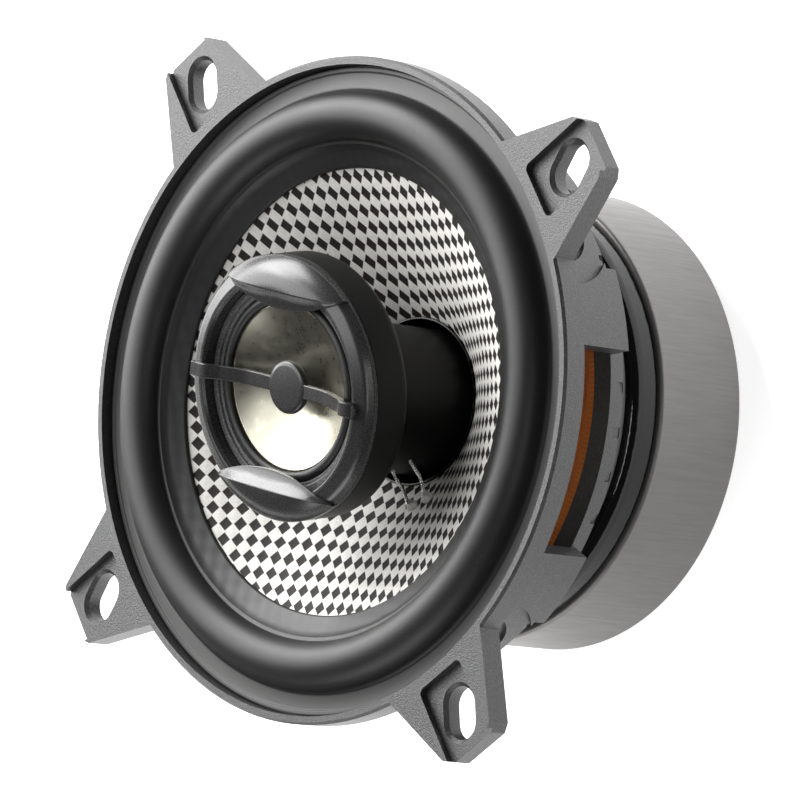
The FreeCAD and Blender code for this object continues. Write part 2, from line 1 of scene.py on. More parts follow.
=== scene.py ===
"""Coaxial car speaker: the visible pieces, their finishes, the studio and the camera.

Every piece is worked out in millimetres in the part's own frame (axis +Z, front up, origin in the
middle of the mounting flange's seating plane) and is written to its mesh in metres.
"""
import logging
import math
from dataclasses import dataclass, field
from enum import Enum

import bmesh
import bpy
import numpy as np
from mathutils import Matrix, Vector


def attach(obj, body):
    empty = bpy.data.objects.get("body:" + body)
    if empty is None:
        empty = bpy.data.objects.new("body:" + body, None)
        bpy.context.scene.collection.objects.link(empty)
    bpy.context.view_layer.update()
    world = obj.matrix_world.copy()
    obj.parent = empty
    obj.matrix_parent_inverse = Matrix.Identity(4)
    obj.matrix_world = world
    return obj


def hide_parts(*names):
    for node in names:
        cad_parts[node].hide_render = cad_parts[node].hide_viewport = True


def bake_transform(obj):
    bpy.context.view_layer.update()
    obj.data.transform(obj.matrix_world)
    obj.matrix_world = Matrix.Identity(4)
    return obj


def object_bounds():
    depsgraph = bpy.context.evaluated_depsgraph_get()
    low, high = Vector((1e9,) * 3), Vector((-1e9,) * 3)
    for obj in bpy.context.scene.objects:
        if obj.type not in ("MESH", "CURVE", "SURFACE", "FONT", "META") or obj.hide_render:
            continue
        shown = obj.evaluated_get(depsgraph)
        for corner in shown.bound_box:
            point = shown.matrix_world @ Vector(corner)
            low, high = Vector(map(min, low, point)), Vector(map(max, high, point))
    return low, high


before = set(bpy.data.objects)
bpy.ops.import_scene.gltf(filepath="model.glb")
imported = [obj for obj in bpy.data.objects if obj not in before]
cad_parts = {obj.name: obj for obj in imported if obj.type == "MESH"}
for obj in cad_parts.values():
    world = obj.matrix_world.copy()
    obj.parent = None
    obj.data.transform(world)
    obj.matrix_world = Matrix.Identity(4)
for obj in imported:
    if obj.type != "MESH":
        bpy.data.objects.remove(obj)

CAD_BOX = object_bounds()

logging.basicConfig(level=logging.INFO, format="%(message)s")
log = logging.getLogger("speaker")

Array = np.ndarray
Colour = tuple[float, float, float]
Corner = tuple[float, float, float]

MM = 0.001
MERGE_MM = 1e-4
TURN_STEPS = 240
ARC_STEPS = 6
FULL_TURN = 2 * math.pi
WELD_M = 2e-6
FLAT_DEGREES = 0.6
EDGE_DEGREES = 28


# ---- outlines, grids and meshes ----------------------------------------------------------
def rounded_path(corners: list[Corner], closed: bool) -> Array:
    """Polyline through corners, each replaced by a tangent arc of its own radius.

    The arc's centre lies on the corner's bisector at radius / sin(half the corner's angle), and
    the arc runs between the two points at radius / tan(half the angle) from the corner.  A short
    way before and after each arc stands one more point, which keeps the flats flat when shaded.

    Args:
        corners: (across, up, radius) of each corner, in millimetres.
        closed: whether the last corner joins the first.

    Returns:
        Points of the path, (n, 2); a closed path repeats its first point at the end.
    """
    spots = [np.array(c[:2], float) for c in corners]
    count = len(spots)
    points: list[Array] = []
    for i, (x, y, radius) in enumerate(corners):
        here = spots[i]
        if not closed and i in (0, count - 1):
            points.append(here[None])
            continue
        back = spots[i - 1] - here
        ahead = spots[(i + 1) % count] - here
        room = min(np.hypot(*back), np.hypot(*ahead))
        back = back / np.hypot(*back)
        ahead = ahead / np.hypot(*ahead)
        half = math.acos(float(np.clip(back @ ahead, -1, 1))) / 2
        if radius <= 0 or half > math.radians(89.5):
            points.append(here[None])
            continue
        setback = min(radius / math.tan(half), 0.45 * room)
        true_radius = setback * math.tan(half)
        middle = back + ahead
        centre = here + middle / np.hypot(*middle) * (true_radius / math.sin(half))
        first = here + back * setback - centre
        last = here + ahead * setback - centre
        start = math.atan2(first[1], first[0])
        sweep = math.remainder(math.atan2(last[1], last[0]) - start, FULL_TURN)
        angles = start + sweep * np.linspace(0, 1, ARC_STEPS + 1)
        arc = centre + true_radius * np.stack([np.cos(angles), np.sin(angles)], 1)
        spare = min(0.12, 0.2 * (room - setback))
        points.append((here + back * (setback + spare))[None])
        points.append(arc)
        points.append((here + ahead * (setback + spare))[None])
    path = np.concatenate(points)
    return np.concatenate([path, path[:1]]) if closed else path


def arc_through(a: tuple, b: tuple, c: tuple, steps: int) -> Array:
    """Points of the circle through a, b and c, from a to c by way of b.

    The centre is where the perpendicular bisectors of a-b and a-c cross.

    Returns:
        Points, (steps + 1, 2).
    """
    p, q, s = (np.array(v, float) for v in (a, b, c))
    centre = np.linalg.solve(2 * np.array([q - p, s - p]), [q @ q - p @ p, s @ s - p @ p])
    radius = np.hypot(*(p - centre))
    angle = [math.atan2(*(v - centre)[::-1]) for v in (p, q, s)]
    to_middle = math.remainder(angle[1] - angle[0], FULL_TURN)
    to_end = to_middle + math.remainder(angle[2] - angle[1], FULL_TURN)
    angles = angle[0] + to_end * np.linspace(0, 1, steps + 1)
    return centre + radius * np.stack([np.cos(angles), np.sin(angles)], 1)


def turned_grid(outline: Array, steps: int = TURN_STEPS) -> Array:
    """Grid of a solid of revolution: each (r, z) point swings once round the axis.

    A point at (r, z) and angle a stands at (r cos a, r sin a, z).

    Returns:
        Grid of points, (len(outline), steps + 1, 3).
    """
    angles = np.linspace(0, FULL_TURN, steps + 1)
    r = np.maximum(outline[:, :1], 0)
    z = np.broadcast_to(outline[:, 1:], (len(outline), steps + 1))
    return np.stack([r * np.cos(angles), r * np.sin(angles), z], -1)


def swept_grid(path: Array, sections: Array, side: Array) -> Array:
    """Grid of a section carried along a path.

    A section point (s, t) stands at the path point plus s times the side direction plus t times
    the direction square to both the side and the path.

    Args:
        path: (n, 3) points.
        sections: (n, m, 2) section at each path point.
        side: (n, 3) unit side directions.

    Returns:
        Grid of points, (n, m, 3).
    """
    along = np.gradient(path, axis=0)
    along /= np.linalg.norm(along, axis=1, keepdims=True)
    across = side - (side * along).sum(1, keepdims=True) * along
    across /= np.linalg.norm(across, axis=1, keepdims=True)
    up = np.cross(across, along)
    return (path[:, None] + sections[..., :1] * across[:, None] + sections[..., 1:] * up[:, None])


def capped(grid: Array) -> Array:
    """The grid with its first and last rows drawn in to their middles, which closes both ends."""
    first = np.broadcast_to(grid[0].mean(0), grid[0].shape)
    last = np.broadcast_to(grid[-1].mean(0), grid[-1].shape)
    return np.concatenate([first[None], grid, last[None]])


def grid_uv(rows: int, cols: int) -> Array:
    """Texture places of a grid: u runs 0 to 1 over the columns and v 0 to 1 over the rows."""
    v, u = np.meshgrid(np.linspace(0, 1, rows), np.linspace(0, 1, cols), indexing="ij")
    return np.stack([u, v], -1)


def volume_of(points: Array, quads: Array) -> float:
    """Signed volume inside a closed surface: a sixth of the sum of a . (b x c) over its triangles."""
    a, b, c, d = (points[quads[:, k]] for k in range(4))
    first = np.einsum("ij,ij->i", a, np.cross(b, c))
    second = np.einsum("ij,ij->i", a, np.cross(c, d))
    return float((first + second).sum() / 6)


def surface(name: str, *grids: Array) -> bpy.types.Object:
    """A mesh object of one or more closed grids, with faces outward and a UV map.

    Grid points that coincide become one vertex, so seams and poles are closed, and a face that
    loses a corner that way is a triangle.

    Args:
        name: the piece's name.
        grids: grids of points in millimetres, each (rows, cols, 3) and closed on itself.

    Returns:
        The new object, at the origin, smooth shaded.
    """
    starts: list[Array] = []
    loops: list[Array] = []
    places: list[Array] = []
    spots: list[Array] = []
    loop_total = 0
    vertex_total = 0
    for grid in grids:
        rows, cols = grid.shape[:2]
        flat = grid.reshape(-1, 3)
        keys = np.round(flat / MERGE_MM).astype(np.int64)
        _, first, owner = np.unique(keys, axis=0, return_index=True, return_inverse=True)
        owner = owner.reshape(-1)
        ids = np.arange(rows * cols).reshape(rows, cols)
        quads = np.stack([ids[:-1, :-1], ids[:-1, 1:], ids[1:, 1:], ids[1:, :-1]], -1).reshape(-1, 4)
        if volume_of(flat, quads) < 0:
            quads = quads[:, ::-1]
        corners = owner[quads]
        kept = corners != np.roll(corners, -1, axis=1)
        whole = kept.sum(1) >= 3
        quads, corners, kept = quads[whole], corners[whole], kept[whole]
        sizes = kept.sum(1)
        starts.append(loop_total + np.concatenate([[0], np.cumsum(sizes)[:-1]]))
        loops.append(corners[kept] + vertex_total)
        places.append(grid_uv(rows, cols).reshape(-1, 2)[quads[kept]])
        spots.append(flat[first])
        loop_total += int(sizes.sum())
        vertex_total += len(first)
    mesh = bpy.data.meshes.new(name)
    mesh.vertices.add(vertex_total)
    mesh.vertices.foreach_set("co", (np.concatenate(spots) * MM).astype(np.float32).ravel())
    mesh.loops.add(loop_total)
    mesh.loops.foreach_set("vertex_index", np.concatenate(loops).astype(np.int32))
    mesh.polygons.add(sum(len(s) for s in starts))
    mesh.polygons.foreach_set("loop_start", np.concatenate(starts).astype(np.int32))
    mesh.update(calc_edges=True)
    uv = np.concatenate(places).astype(np.float32)
    mesh.uv_layers.new(name="UVMap").data.foreach_set("uv", uv.ravel())
    mesh.shade_smooth()
    mesh.validate()
    piece = bpy.data.objects.new(name, mesh)
    bpy.context.scene.collection.objects.link(piece)
    return piece


def turned(name: str, corners: list[Corner], matrix: "Array | None" = None,
           steps: int = TURN_STEPS) -> bpy.types.Object:
    """A closed outline of (r, z, corner radius) turned about the axis, moved by matrix if given."""
    grid = turned_grid(rounded_path(corners, True), steps)
    return surface(name, grid if matrix is None else placed(grid, matrix))


def placed(grid: Array, matrix: Array) -> Array:
    """Grid points carried by a 4 x 4 matrix: turned by its upper left part, then shifted."""
    return grid @ matrix[:3, :3].T + matrix[:3, 3]


def radial_blend(piece: bpy.types.Object, inner_r: float, outer_r: float) -> None:
    """Bakes the ring's placement into its mesh and reads back its points.
    """
    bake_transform(piece)
    spots = np.empty(len(piece.data.vertices) * 3, np.float32)
    piece.data.vertices.foreach_get("co", spots)


def softened(node: str, width: float, name: str) -> bpy.types.Object:
    """A copy of a CAD node with its flat faces joined and its sharp edges slightly rounded.

    Args:
        node: the CAD node to copy.
        width: width of the rounded edge in millimetres.
        name: the new piece's name.
    """
    piece = bpy.data.objects.new(name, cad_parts[node].data.copy())
    bpy.context.scene.collection.objects.link(piece)
    piece.data.materials.clear()
    shape = bmesh.new()
    shape.from_mesh(piece.data)
    bmesh.ops.remove_doubles(shape, verts=shape.verts, dist=WELD_M)
    flat = math.radians(FLAT_DEGREES)
    bmesh.ops.dissolve_limit(shape, angle_limit=flat, verts=shape.verts, edges=shape.edges)
    shape.to_mesh(piece.data)
    shape.free()
    if piece.data.has_custom_normals:
        with bpy.context.temp_override(object=piece, active_object=piece, selected_objects=[piece]):
            bpy.ops.mesh.customdata_custom_splitnormals_clear()
    piece.data.shade_smooth()
    bevel = piece.modifiers.new("edges", "BEVEL")
    bevel.width = width * MM
    bevel.segments = 2
    bevel.limit_method = "ANGLE"
    bevel.angle_limit = math.radians(EDGE_DEGREES)
    bevel.harden_normals = True
    bevel.use_clamp_overlap = True
    return piece


# ---- shader building -----------------------------------------------------------------------
class Value:
    """A shader socket that takes part in Python arithmetic."""

    def __init__(self, recipe: "Recipe", socket: bpy.types.NodeSocket) -> None:
        """Keeps the recipe that owns the socket."""
        self.recipe = recipe
        self.socket = socket

    def _math(self, operation: str, a: "Value | float", b: "Value | float" = 0.0) -> "Value":
        """The result of a Math node on a and b."""
        return self.recipe.node("ShaderNodeMath", {"operation": operation}, {0: a, 1: b})

    def __add__(self, other: "Value | float") -> "Value":
        """Sum."""
        return self._math("ADD", self, other)

    def __radd__(self, other: float) -> "Value":
        """Sum with the number first."""
        return self._math("ADD", other, self)

    def __sub__(self, other: "Value | float") -> "Value":
        """Difference."""
        return self._math("SUBTRACT", self, other)

    def __rsub__(self, other: float) -> "Value":
        """Difference with the number first."""
        return self._math("SUBTRACT", other, self)

    def __mul__(self, other: "Value | float") -> "Value":
        """Product."""
        return self._math("MULTIPLY", self, other)

    def __pow__(self, other: float) -> "Value":
        """Power."""
        return self._math("POWER", self, other)

    def __gt__(self, other: "Value | float") -> "Value":
        """1 where greater, else 0."""
        return self._math("GREATER_THAN", self, other)

    def __mod__(self, other: float) -> "Value":
        """Remainder that stays positive."""
        return self._math("FLOORED_MODULO", self, other)

    def floor(self) -> "Value":
        """Whole part."""
        return self._math("FLOOR", self)

    def wave(self) -> "Value":
        """Sine of the value."""
        return self._math("SINE", self)

    def size(self) -> "Value":
        """Absolute value."""
        return self._math("ABSOLUTE", self)

    def most(self, other: "Value | float") -> "Value":
        """The larger of two values."""
        return self._math("MAXIMUM", self, other)

    def ramp(self, low: float, high: float) -> "Value":
        """0 below low, 1 above high, and smooth between them."""
        settings = {"interpolation_type": "SMOOTHSTEP"}
        return self.recipe.node("ShaderNodeMapRange", settings, {0: self, 1: low, 2: high, 3: 0.0, 4: 1.0})


class Recipe:
    """One material's node tree, with a Principled shader that the finishes fill in."""

    def __init__(self, name: str) -> None:
        """Makes the material and its shader."""
        self.material = bpy.data.materials.new(name)
        self.material.use_nodes = True
        self.tree = self.material.node_tree
        self.shader = self.tree.nodes["Principled BSDF"]

    def node(self, kind: str, settings: dict, inputs: dict, output: "int | str" = 0) -> Value:
        """Adds a node.

        Args:
            kind: the node's type.
            settings: its own settings.
            inputs: a Value to link or a constant for each socket, by name or index.
            output: the socket that is given back.

        Returns:
            The output as a Value.
        """
        node = self.tree.nodes.new(kind)
        for key, setting in settings.items():
            setattr(node, key, setting)
        for key, value in inputs.items():
            self.feed(node.inputs[key], value)
        return Value(self, node.outputs[output])

    def feed(self, socket: bpy.types.NodeSocket, value: "Value | float | tuple") -> None:
        """Links a Value to a socket, or sets the socket's own constant."""
        if isinstance(value, Value):
            self.tree.links.new(value.socket, socket)
        elif isinstance(value, tuple) and len(socket.default_value) == 4:
            socket.default_value = (*value, 1.0)
        else:
            socket.default_value = value

    def set(self, **inputs: "Value | float | tuple") -> None:
        """Feeds the shader's sockets; an underscore in a name stands for a space."""
        for key, value in inputs.items():
            self.feed(self.shader.inputs[key.replace("_", " ")], value)

    def place(self) -> Value:
        """The point in the part's frame, in metres."""
        return self.node("ShaderNodeTexCoord", {}, {}, "Object")

    def axes(self, vector: Value) -> tuple[Value, Value, Value]:
        """The three numbers of a vector."""
        first = self.node("ShaderNodeSeparateXYZ", {}, {0: vector})
        outputs = first.socket.node.outputs
        return first, Value(self, outputs[1]), Value(self, outputs[2])

    def vector(self, x: "Value | float", y: "Value | float", z: "Value | float") -> Value:
        """A vector of three numbers."""
        return self.node("ShaderNodeCombineXYZ", {}, {0: x, 1: y, 2: z})

    def noise(self, vector: Value, scale: float, detail: float = 2.0, roughness: float = 0.5) -> Value:
        """Smooth noise, 0 to 1, at a scale per metre."""
        inputs = {"Vector": vector, "Scale": scale, "Detail": detail, "Roughness": roughness}
        return self.node("ShaderNodeTexNoise", {}, inputs)

    def cells(self, vector: Value, scale: float) -> Value:
        """Distance to the nearest of a cloud of scattered points, at a scale per metre."""
        return self.node("ShaderNodeTexVoronoi", {}, {"Vector": vector, "Scale": scale})

    def stretched(self, vector: Value, scale: tuple) -> Value:
        """The vector times a scale for each axis."""
        return self.node("ShaderNodeMapping", {}, {"Vector": vector, "Scale": scale})

    def mix(self, share: "Value | float", a: "Value | tuple", b: "Value | tuple") -> Value:
        """Colour a where share is 0 and b where it is 1."""
        return self.node("ShaderNodeMix", {"data_type": "RGBA"}, {0: share, 6: a, 7: b}, 2)

    def bump(self, height: Value, depth_mm: float, strength: float = 1.0) -> None:
        """Raises the surface's shading by a height of 0 to 1 times depth_mm."""
        inputs = {"Height": height, "Distance": depth_mm * MM, "Strength": strength}
        self.set(Normal=self.node("ShaderNodeBump", {}, inputs))


@dataclass(frozen=True)
class Finish:
    """A finish: its name, base colour and roughness."""

    name: str
    colour: Colour
    roughness: float

    def paint(self, recipe: Recipe) -> None:
        """Fills in the shader; each finish has its own."""
        raise NotImplementedError

    def material(self) -> bpy.types.Material:
        """The finish's material, made once."""
        made = bpy.data.materials.get(f"finish_{self.name}")
        if made is None:
            recipe = Recipe(f"finish_{self.name}")
            self.paint(recipe)
            made = recipe.material
        return made


@dataclass(frozen=True)
class GrainedPlastic(Finish):
    """Moulded plastic with a fine spark-eroded grain and paler specks painted on its high points, a painted
    glint of the grain.
    """

    glint_colour: Colour = (0.2, 0.2, 0.2)
    grain_per_mm: float = 3.2
    depth_mm: float = 0.05
    glint_share: float = 0.6
    shine: float = 0.5

    def paint(self, recipe: Recipe) -> None:
        """Colour, gloss and relief all follow one grain: cells broken up by noise."""
        place = recipe.place()
        pits = recipe.cells(place, self.grain_per_mm / MM)
        mottle = recipe.noise(place, 1.1 * self.grain_per_mm / MM, 3.0, 0.7)
        grain = mottle * 0.75 + (1 - pits) * 0.35
        cloud = recipe.noise(place, 60.0, 2.0)
        # Paler specks on the grain's high points: a painted glint where the grain would catch the light.
        glints = grain.ramp(0.5, 0.85) * self.glint_share
        base = recipe.mix(cloud * 0.35, self.colour, tuple(c * 1.5 for c in self.colour))
        recipe.set(Base_Color=recipe.mix(glints, base, self.glint_colour))
        recipe.set(Roughness=self.roughness + (mottle - 0.5) * 0.25, Specular_IOR_Level=self.shine)
        recipe.bump(grain, self.depth_mm)


@dataclass(frozen=True)
class Rubber(Finish):
    """Moulded rubber, smooth with a faint dusty bloom, and painted paler on its glued flange as painted
    light falling on the flat flange.
    """

    flange_mm: float = 46.3
    painted_lit_flange_colour: Colour = (0.075, 0.074, 0.073)

    def paint(self, recipe: Recipe) -> None:
        """A cloudy bloom lightens and dulls the surface; a very fine grain breaks the shine."""
        place = recipe.place()
        bloom = recipe.noise(place, 90.0, 4.0, 0.6)
        grain = recipe.noise(place, 5200.0, 2.0, 0.6)
        dust = recipe.noise(place, 2600.0, 1.0).ramp(0.68, 0.78)
        x, y, _ = recipe.axes(place)
        radius = (x * x + y * y) ** 0.5
        # Paler flange colour: painted light standing in for the light that falls on the flat flange.
        flange = radius.ramp(self.flange_mm * MM, (self.flange_mm + 0.3) * MM)
        base = recipe.mix(bloom * 0.5, self.colour, tuple(c * 1.9 for c in self.colour))
        base = recipe.mix(flange, base, self.painted_lit_flange_colour)
        recipe.set(Base_Color=recipe.mix(dust * 0.12, base, (0.16, 0.16, 0.16)))
        recipe.set(Roughness=self.roughness + bloom * 0.12)
        recipe.bump(grain, 0.012)


@dataclass(frozen=True)
class WovenGlass(Finish):
    """Plain weave of silvery glass tows over dark ones, under a clear resin."""

    dark: Colour = (0.012, 0.009, 0.008)

    def paint(self, recipe: Recipe) -> None:
        """Squares alternate as one tow or the other lies on top; threads run along the top tow."""
        place = recipe.place()
        x, y, _ = recipe.axes(place)
        wander = recipe.noise(place, 160.0, 1.0) - 0.5
        u = x * (WEAVE.across[0] / MM) + y * (WEAVE.across[1] / MM) + wander * 0.25
        v = x * (WEAVE.along[0] / MM) + y * (WEAVE.along[1] / MM) - wander * 0.25
        du = (u % 1.0) - 0.5
        dv = (v % 1.0) - 0.5
        odd = ((u.floor() + v.floor()) % 2.0) > 0.5
        edge = du.size().most(dv.size())
        patch = 1 - edge.ramp(WEAVE.dark_half - 0.035, WEAVE.dark_half + 0.035)
        dark = odd * patch
        fray = recipe.noise(recipe.vector(u * 3.0, v * 30.0, 0.0), 1.0, 2.0, 0.6)
        threads = recipe.noise(recipe.vector(u * 30.0, v * 3.0, 0.0), 1.0, 2.0, 0.6)
        silver = recipe.mix(fray.ramp(0.2, 0.7), tuple(c * 0.62 for c in self.colour), self.colour)
        brown = recipe.mix(threads.ramp(0.35, 0.85), self.dark, tuple(c * 3 for c in self.dark))
        recipe.set(Base_Color=recipe.mix(dark, silver, brown))
        recipe.set(Roughness=self.roughness + dark * 0.3 + (fray - 0.5) * 0.15)
        recipe.set(Specular_IOR_Level=0.3)
        recipe.bump(fray * (1 - dark) + threads * dark, 0.02)


@dataclass(frozen=True)
class ResinCloth(Finish):
    """Stiffened cotton cloth of the centring disc, whose threads run round and outward."""

    threads_round: int = 300
    threads_out: int = 150

    def paint(self, recipe: Recipe) -> None:
        """Two fine sine ribs cross each other; the colour is darkened between them, painted shade in the
        hollows between the threads.
        """
        place = recipe.place()
        uv = recipe.node("ShaderNodeUVMap", {"uv_map": "UVMap"}, {})
        round_, out, _ = recipe.axes(uv)
        across = (round_ * (FULL_TURN * self.threads_round)).wave()
        ribs = across * (out * (FULL_TURN * self.threads_out)).wave()
        threads = ribs * 0.5 + 0.5
        stain = recipe.noise(place, 220.0, 3.0, 0.6)
        # Darker colour in the hollows between threads is painted shade.
        dark = tuple(c * 0.65 for c in self.colour)
        recipe.set(Base_Color=recipe.mix(threads * 0.6 + stain * 0.4, dark, self.colour))
        recipe.set(Roughness=self.roughness + stain * 0.1)
        recipe.set(Sheen_Weight=0.15)
        recipe.bump(threads, 0.06)


@dataclass(frozen=True)
class Enamel(Finish):
    """Thick glossy paint whose skin is uneven."""

    uneven_mm: float = 0.12

    def paint(self, recipe: Recipe) -> None:
        """Slow waves and small drips bend the highlights."""
        place = recipe.place()
        waves = recipe.noise(place, 330.0, 3.0, 0.65)
        recipe.set(Base_Color=recipe.mix(waves, self.colour, tuple(c * 1.6 for c in self.colour)))
        recipe.set(Roughness=self.roughness + waves * 0.08)
        recipe.set(Specular_IOR_Level=0.35)
        recipe.bump(waves, self.uneven_mm)


@dataclass(frozen=True)
class BrushedMetal(Finish):
    """Metal or metal paint with fine streaks along one axis."""

    metallic: float = 1.0
    streak: tuple[float, float, float] = (1.0, 1.0, 0.04)
    streaks_per_mm: float = 1.6
    streak_shade: float = 0.35
    depth_mm: float = 0.01

    def paint(self, recipe: Recipe) -> None:
        """Stretched noise shades the streaks, and slow clouds vary the shine."""
        place = recipe.place()
        fine = recipe.noise(recipe.stretched(place, self.streak), self.streaks_per_mm / MM, 3.0, 0.65)
        cloud = recipe.noise(place, 45.0, 3.0, 0.6)
        shade = (fine * 0.7 + cloud * 0.3).ramp(0.25, 0.75)
        low = tuple(c * (1 - self.streak_shade) for c in self.colour)
        recipe.set(Base_Color=recipe.mix(shade, low, self.colour))
        recipe.set(Roughness=self.roughness + (0.5 - shade) * 0.14, Metallic=self.metallic)
        if self.depth_mm:
            recipe.bump(fine, self.depth_mm)


@dataclass(frozen=True)
class Winding(Finish):
    """Enamelled wire laid turn by turn round Z."""

    wire_mm: float = 0.25

    def paint(self, recipe: Recipe) -> None:
        """A sine of the height gives one rib for each turn of wire, and the colour is darkened in the
        grooves between turns as painted shade.
        """
        place = recipe.place()
        _, _, z = recipe.axes(place)
        ribs = (z * (FULL_TURN / (self.wire_mm * MM))).wave() * 0.5 + 0.5
        tint = recipe.noise(place, 400.0, 2.0)
        # The darker colour in the grooves between turns is painted shade.
        low = tuple(c * 0.35 for c in self.colour)
        recipe.set(Base_Color=recipe.mix(ribs * 0.7 + tint * 0.3, low, self.colour))
        recipe.set(Roughness=self.roughness + (1 - ribs) * 0.2, Metallic=0.9)
        recipe.bump(ribs, 0.08)


@dataclass(frozen=True)
class FibreSheet(Finish):
    """Pressed paper or board, mottled with short fibres."""

    def paint(self, recipe: Recipe) -> None:
        """Long thin noise marks the fibres, over slow stains."""
        place = recipe.place()
        fibres = recipe.noise(recipe.stretched(place, (1.0, 0.2, 1.0)), 1800.0, 3.0, 0.7)
        stain = recipe.noise(place, 150.0, 3.0)
        shade = fibres * 0.6 + stain * 0.4
        low = tuple(c * 0.55 for c in self.colour)
        recipe.set(Base_Color=recipe.mix(shade.ramp(0.3, 0.7), low, self.colour))
        recipe.set(Roughness=self.roughness + fibres * 0.12)
        recipe.bump(fibres, 0.03)


@dataclass(frozen=True)
class Braid(Finish):
    """Bright strands twisted or plaited along a lead, whose UV map runs round and along it."""

    strands_round: int = 4
    strands_along: int = 14

    def paint(self, recipe: Recipe) -> None:
        """Crossing diagonals on the lead's own UV map darken the hollows between strands with painted
        shade.
        """
        uv = recipe.node("ShaderNodeUVMap", {"uv_map": "UVMap"}, {})
        round_, along, _ = recipe.axes(uv)
        turn = round_ * (FULL_TURN * self.strands_round)
        climb = along * (FULL_TURN * self.strands_along)
        left = (turn + climb).wave()
        right = (turn - climb).wave()
        strands = left.most(right) * 0.5 + 0.5
        # The darker colour in the hollows between strands is painted shade.
        recipe.set(Base_Color=recipe.mix(strands, tuple(c * 0.25 for c in self.colour), self.colour))
        recipe.set(Roughness=self.roughness + (1 - strands) * 0.2, Metallic=1.0)
        recipe.bump(strands, 0.05)


@dataclass(frozen=True)
class Weave:
    """The cone cloth's plain weave, seen along the axis: each vector counts tows per millimetre."""

    across: tuple[float, float] = (0.49, -0.228)
    along: tuple[float, float] = (0.352, 0.577)
    dark_half: float = 0.45

    def relief(self, x: Array, y: Array) -> Array:
        """Height of the cloth, -1 to 1: each tow arches over one crossing and under the next.

        The height is sin(pi u) sin(pi v), which is high on one set of squares and low on the other.
        """
        u = x * self.across[0] + y * self.across[1]
        v = x * self.along[0] + y * self.along[1]
        return np.sin(math.pi * u) * np.sin(math.pi * v)


WEAVE = Weave()


class Dress(Enum):
    """The object's finishes."""

    BASKET = GrainedPlastic("basket_grain", (0.022, 0.022, 0.023),
                            0.4, (0.17, 0.17, 0.17), 4.2, 0.07, 0.6, 0.8)
    HOUSING = GrainedPlastic("housing_satin", (0.004, 0.004, 0.004),
                             0.42, (0.012, 0.012, 0.012), 6.0, 0.008, 0.3, 0.25)
    TRIM = GrainedPlastic("guard_satin", (0.028, 0.027, 0.027),
                          0.27, (0.06, 0.06, 0.06), 5.0, 0.006, 0.3, 0.6)
    STEPS = GrainedPlastic("face_ring_grain", (0.05, 0.05, 0.05), 0.42, (0.3, 0.3, 0.3), 4.5, 0.06, 0.8)
    RUBBER = Rubber("edge_rubber", (0.008, 0.008, 0.008), 0.42)
    GLASS = WovenGlass("woven_glass", (1.0, 0.98, 0.93), 0.34)
    CLOTH = ResinCloth("orange_cloth", (1.0, 0.27, 0.03), 0.7)
    ENAMEL = Enamel("black_enamel", (0.003, 0.003, 0.003), 0.05, 0.07)
    MAGNET = BrushedMetal("magnet_coat", (0.2, 0.193, 0.19), 0.42, 0.7, (1.0, 1.0, 0.05), 2.4, 0.13, 0.004)
    YOKE = BrushedMetal("back_plate_coat", (0.16, 0.157, 0.155), 0.42, 0.7, (1.0, 1.0, 1.0), 2.5, 0.2)
    FORMER = BrushedMetal("former_black", (0.03, 0.03, 0.03), 0.25, 0.8, (1.0, 1.0, 0.1), 2.0)
    ZINC = BrushedMetal("zinc_plate", (0.62, 0.62, 0.6), 0.3, 1.0, (1.0, 1.0, 0.3), 2.0)
    BRASS = BrushedMetal("tinned_brass", (0.75, 0.7, 0.58), 0.28, 1.0, (1.0, 1.0, 0.1), 2.2, 0.25)
    DOME = BrushedMetal("dome_metal", (0.4, 0.385, 0.32), 0.3, 1.0, (1.0, 1.0, 1.0), 0.6, 0.08, 0.0)
    NICKEL = BrushedMetal("nickel_plate", (0.7, 0.68, 0.64), 0.22, 1.0)
    COPPER = Winding("copper_winding", (0.85, 0.36, 0.16), 0.3)
    PAPER = FibreSheet("former_paper", (0.42, 0.26, 0.13), 0.75)
    BOARD = FibreSheet("terminal_board", (0.2, 0.085, 0.035), 0.6)
    SLEEVE = Enamel("capacitor_sleeve", (0.012, 0.014, 0.02), 0.25, 0.03)
    BRAID = Braid("silver_braid", (0.85, 0.84, 0.8), 0.25)
    SOLDER = Enamel("solder", (0.5, 0.49, 0.46), 0.2, 0.15)

    def material(self) -> bpy.types.Material:
        """This finish's material."""
        return self.value.material()


def fit(piece: bpy.types.Object, dress: Dress, slot: str, *nodes: str, body: "str | None" = None) -> None:
    """Dresses a piece, hides the CAD nodes that it stands for, and attaches it to its body if one is given.

    Args:
        piece: the finished piece.
        dress: its finish.
        slot: the material slot that the finish belongs to; not used.
        nodes: the CAD nodes that it stands for.
        body: the body that it rides on, or None to leave it unattached.
    """
    piece.data.materials.append(dress.material())
    if body:
        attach(piece, body)
    if nodes:
        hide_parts(*nodes)
    log.info("%s: %d faces, %s", piece.name, len(piece.data.polygons), body or "bends")


def repaint(dress: Dress, *nodes: str) -> None:
    """Gives CAD nodes that keep their own shape a finish."""
    for node in nodes:
        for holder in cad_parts[node].material_slots:
            holder.material = dress.material()
        log.info("%s keeps its shape, %s", node, dress.name.lower())


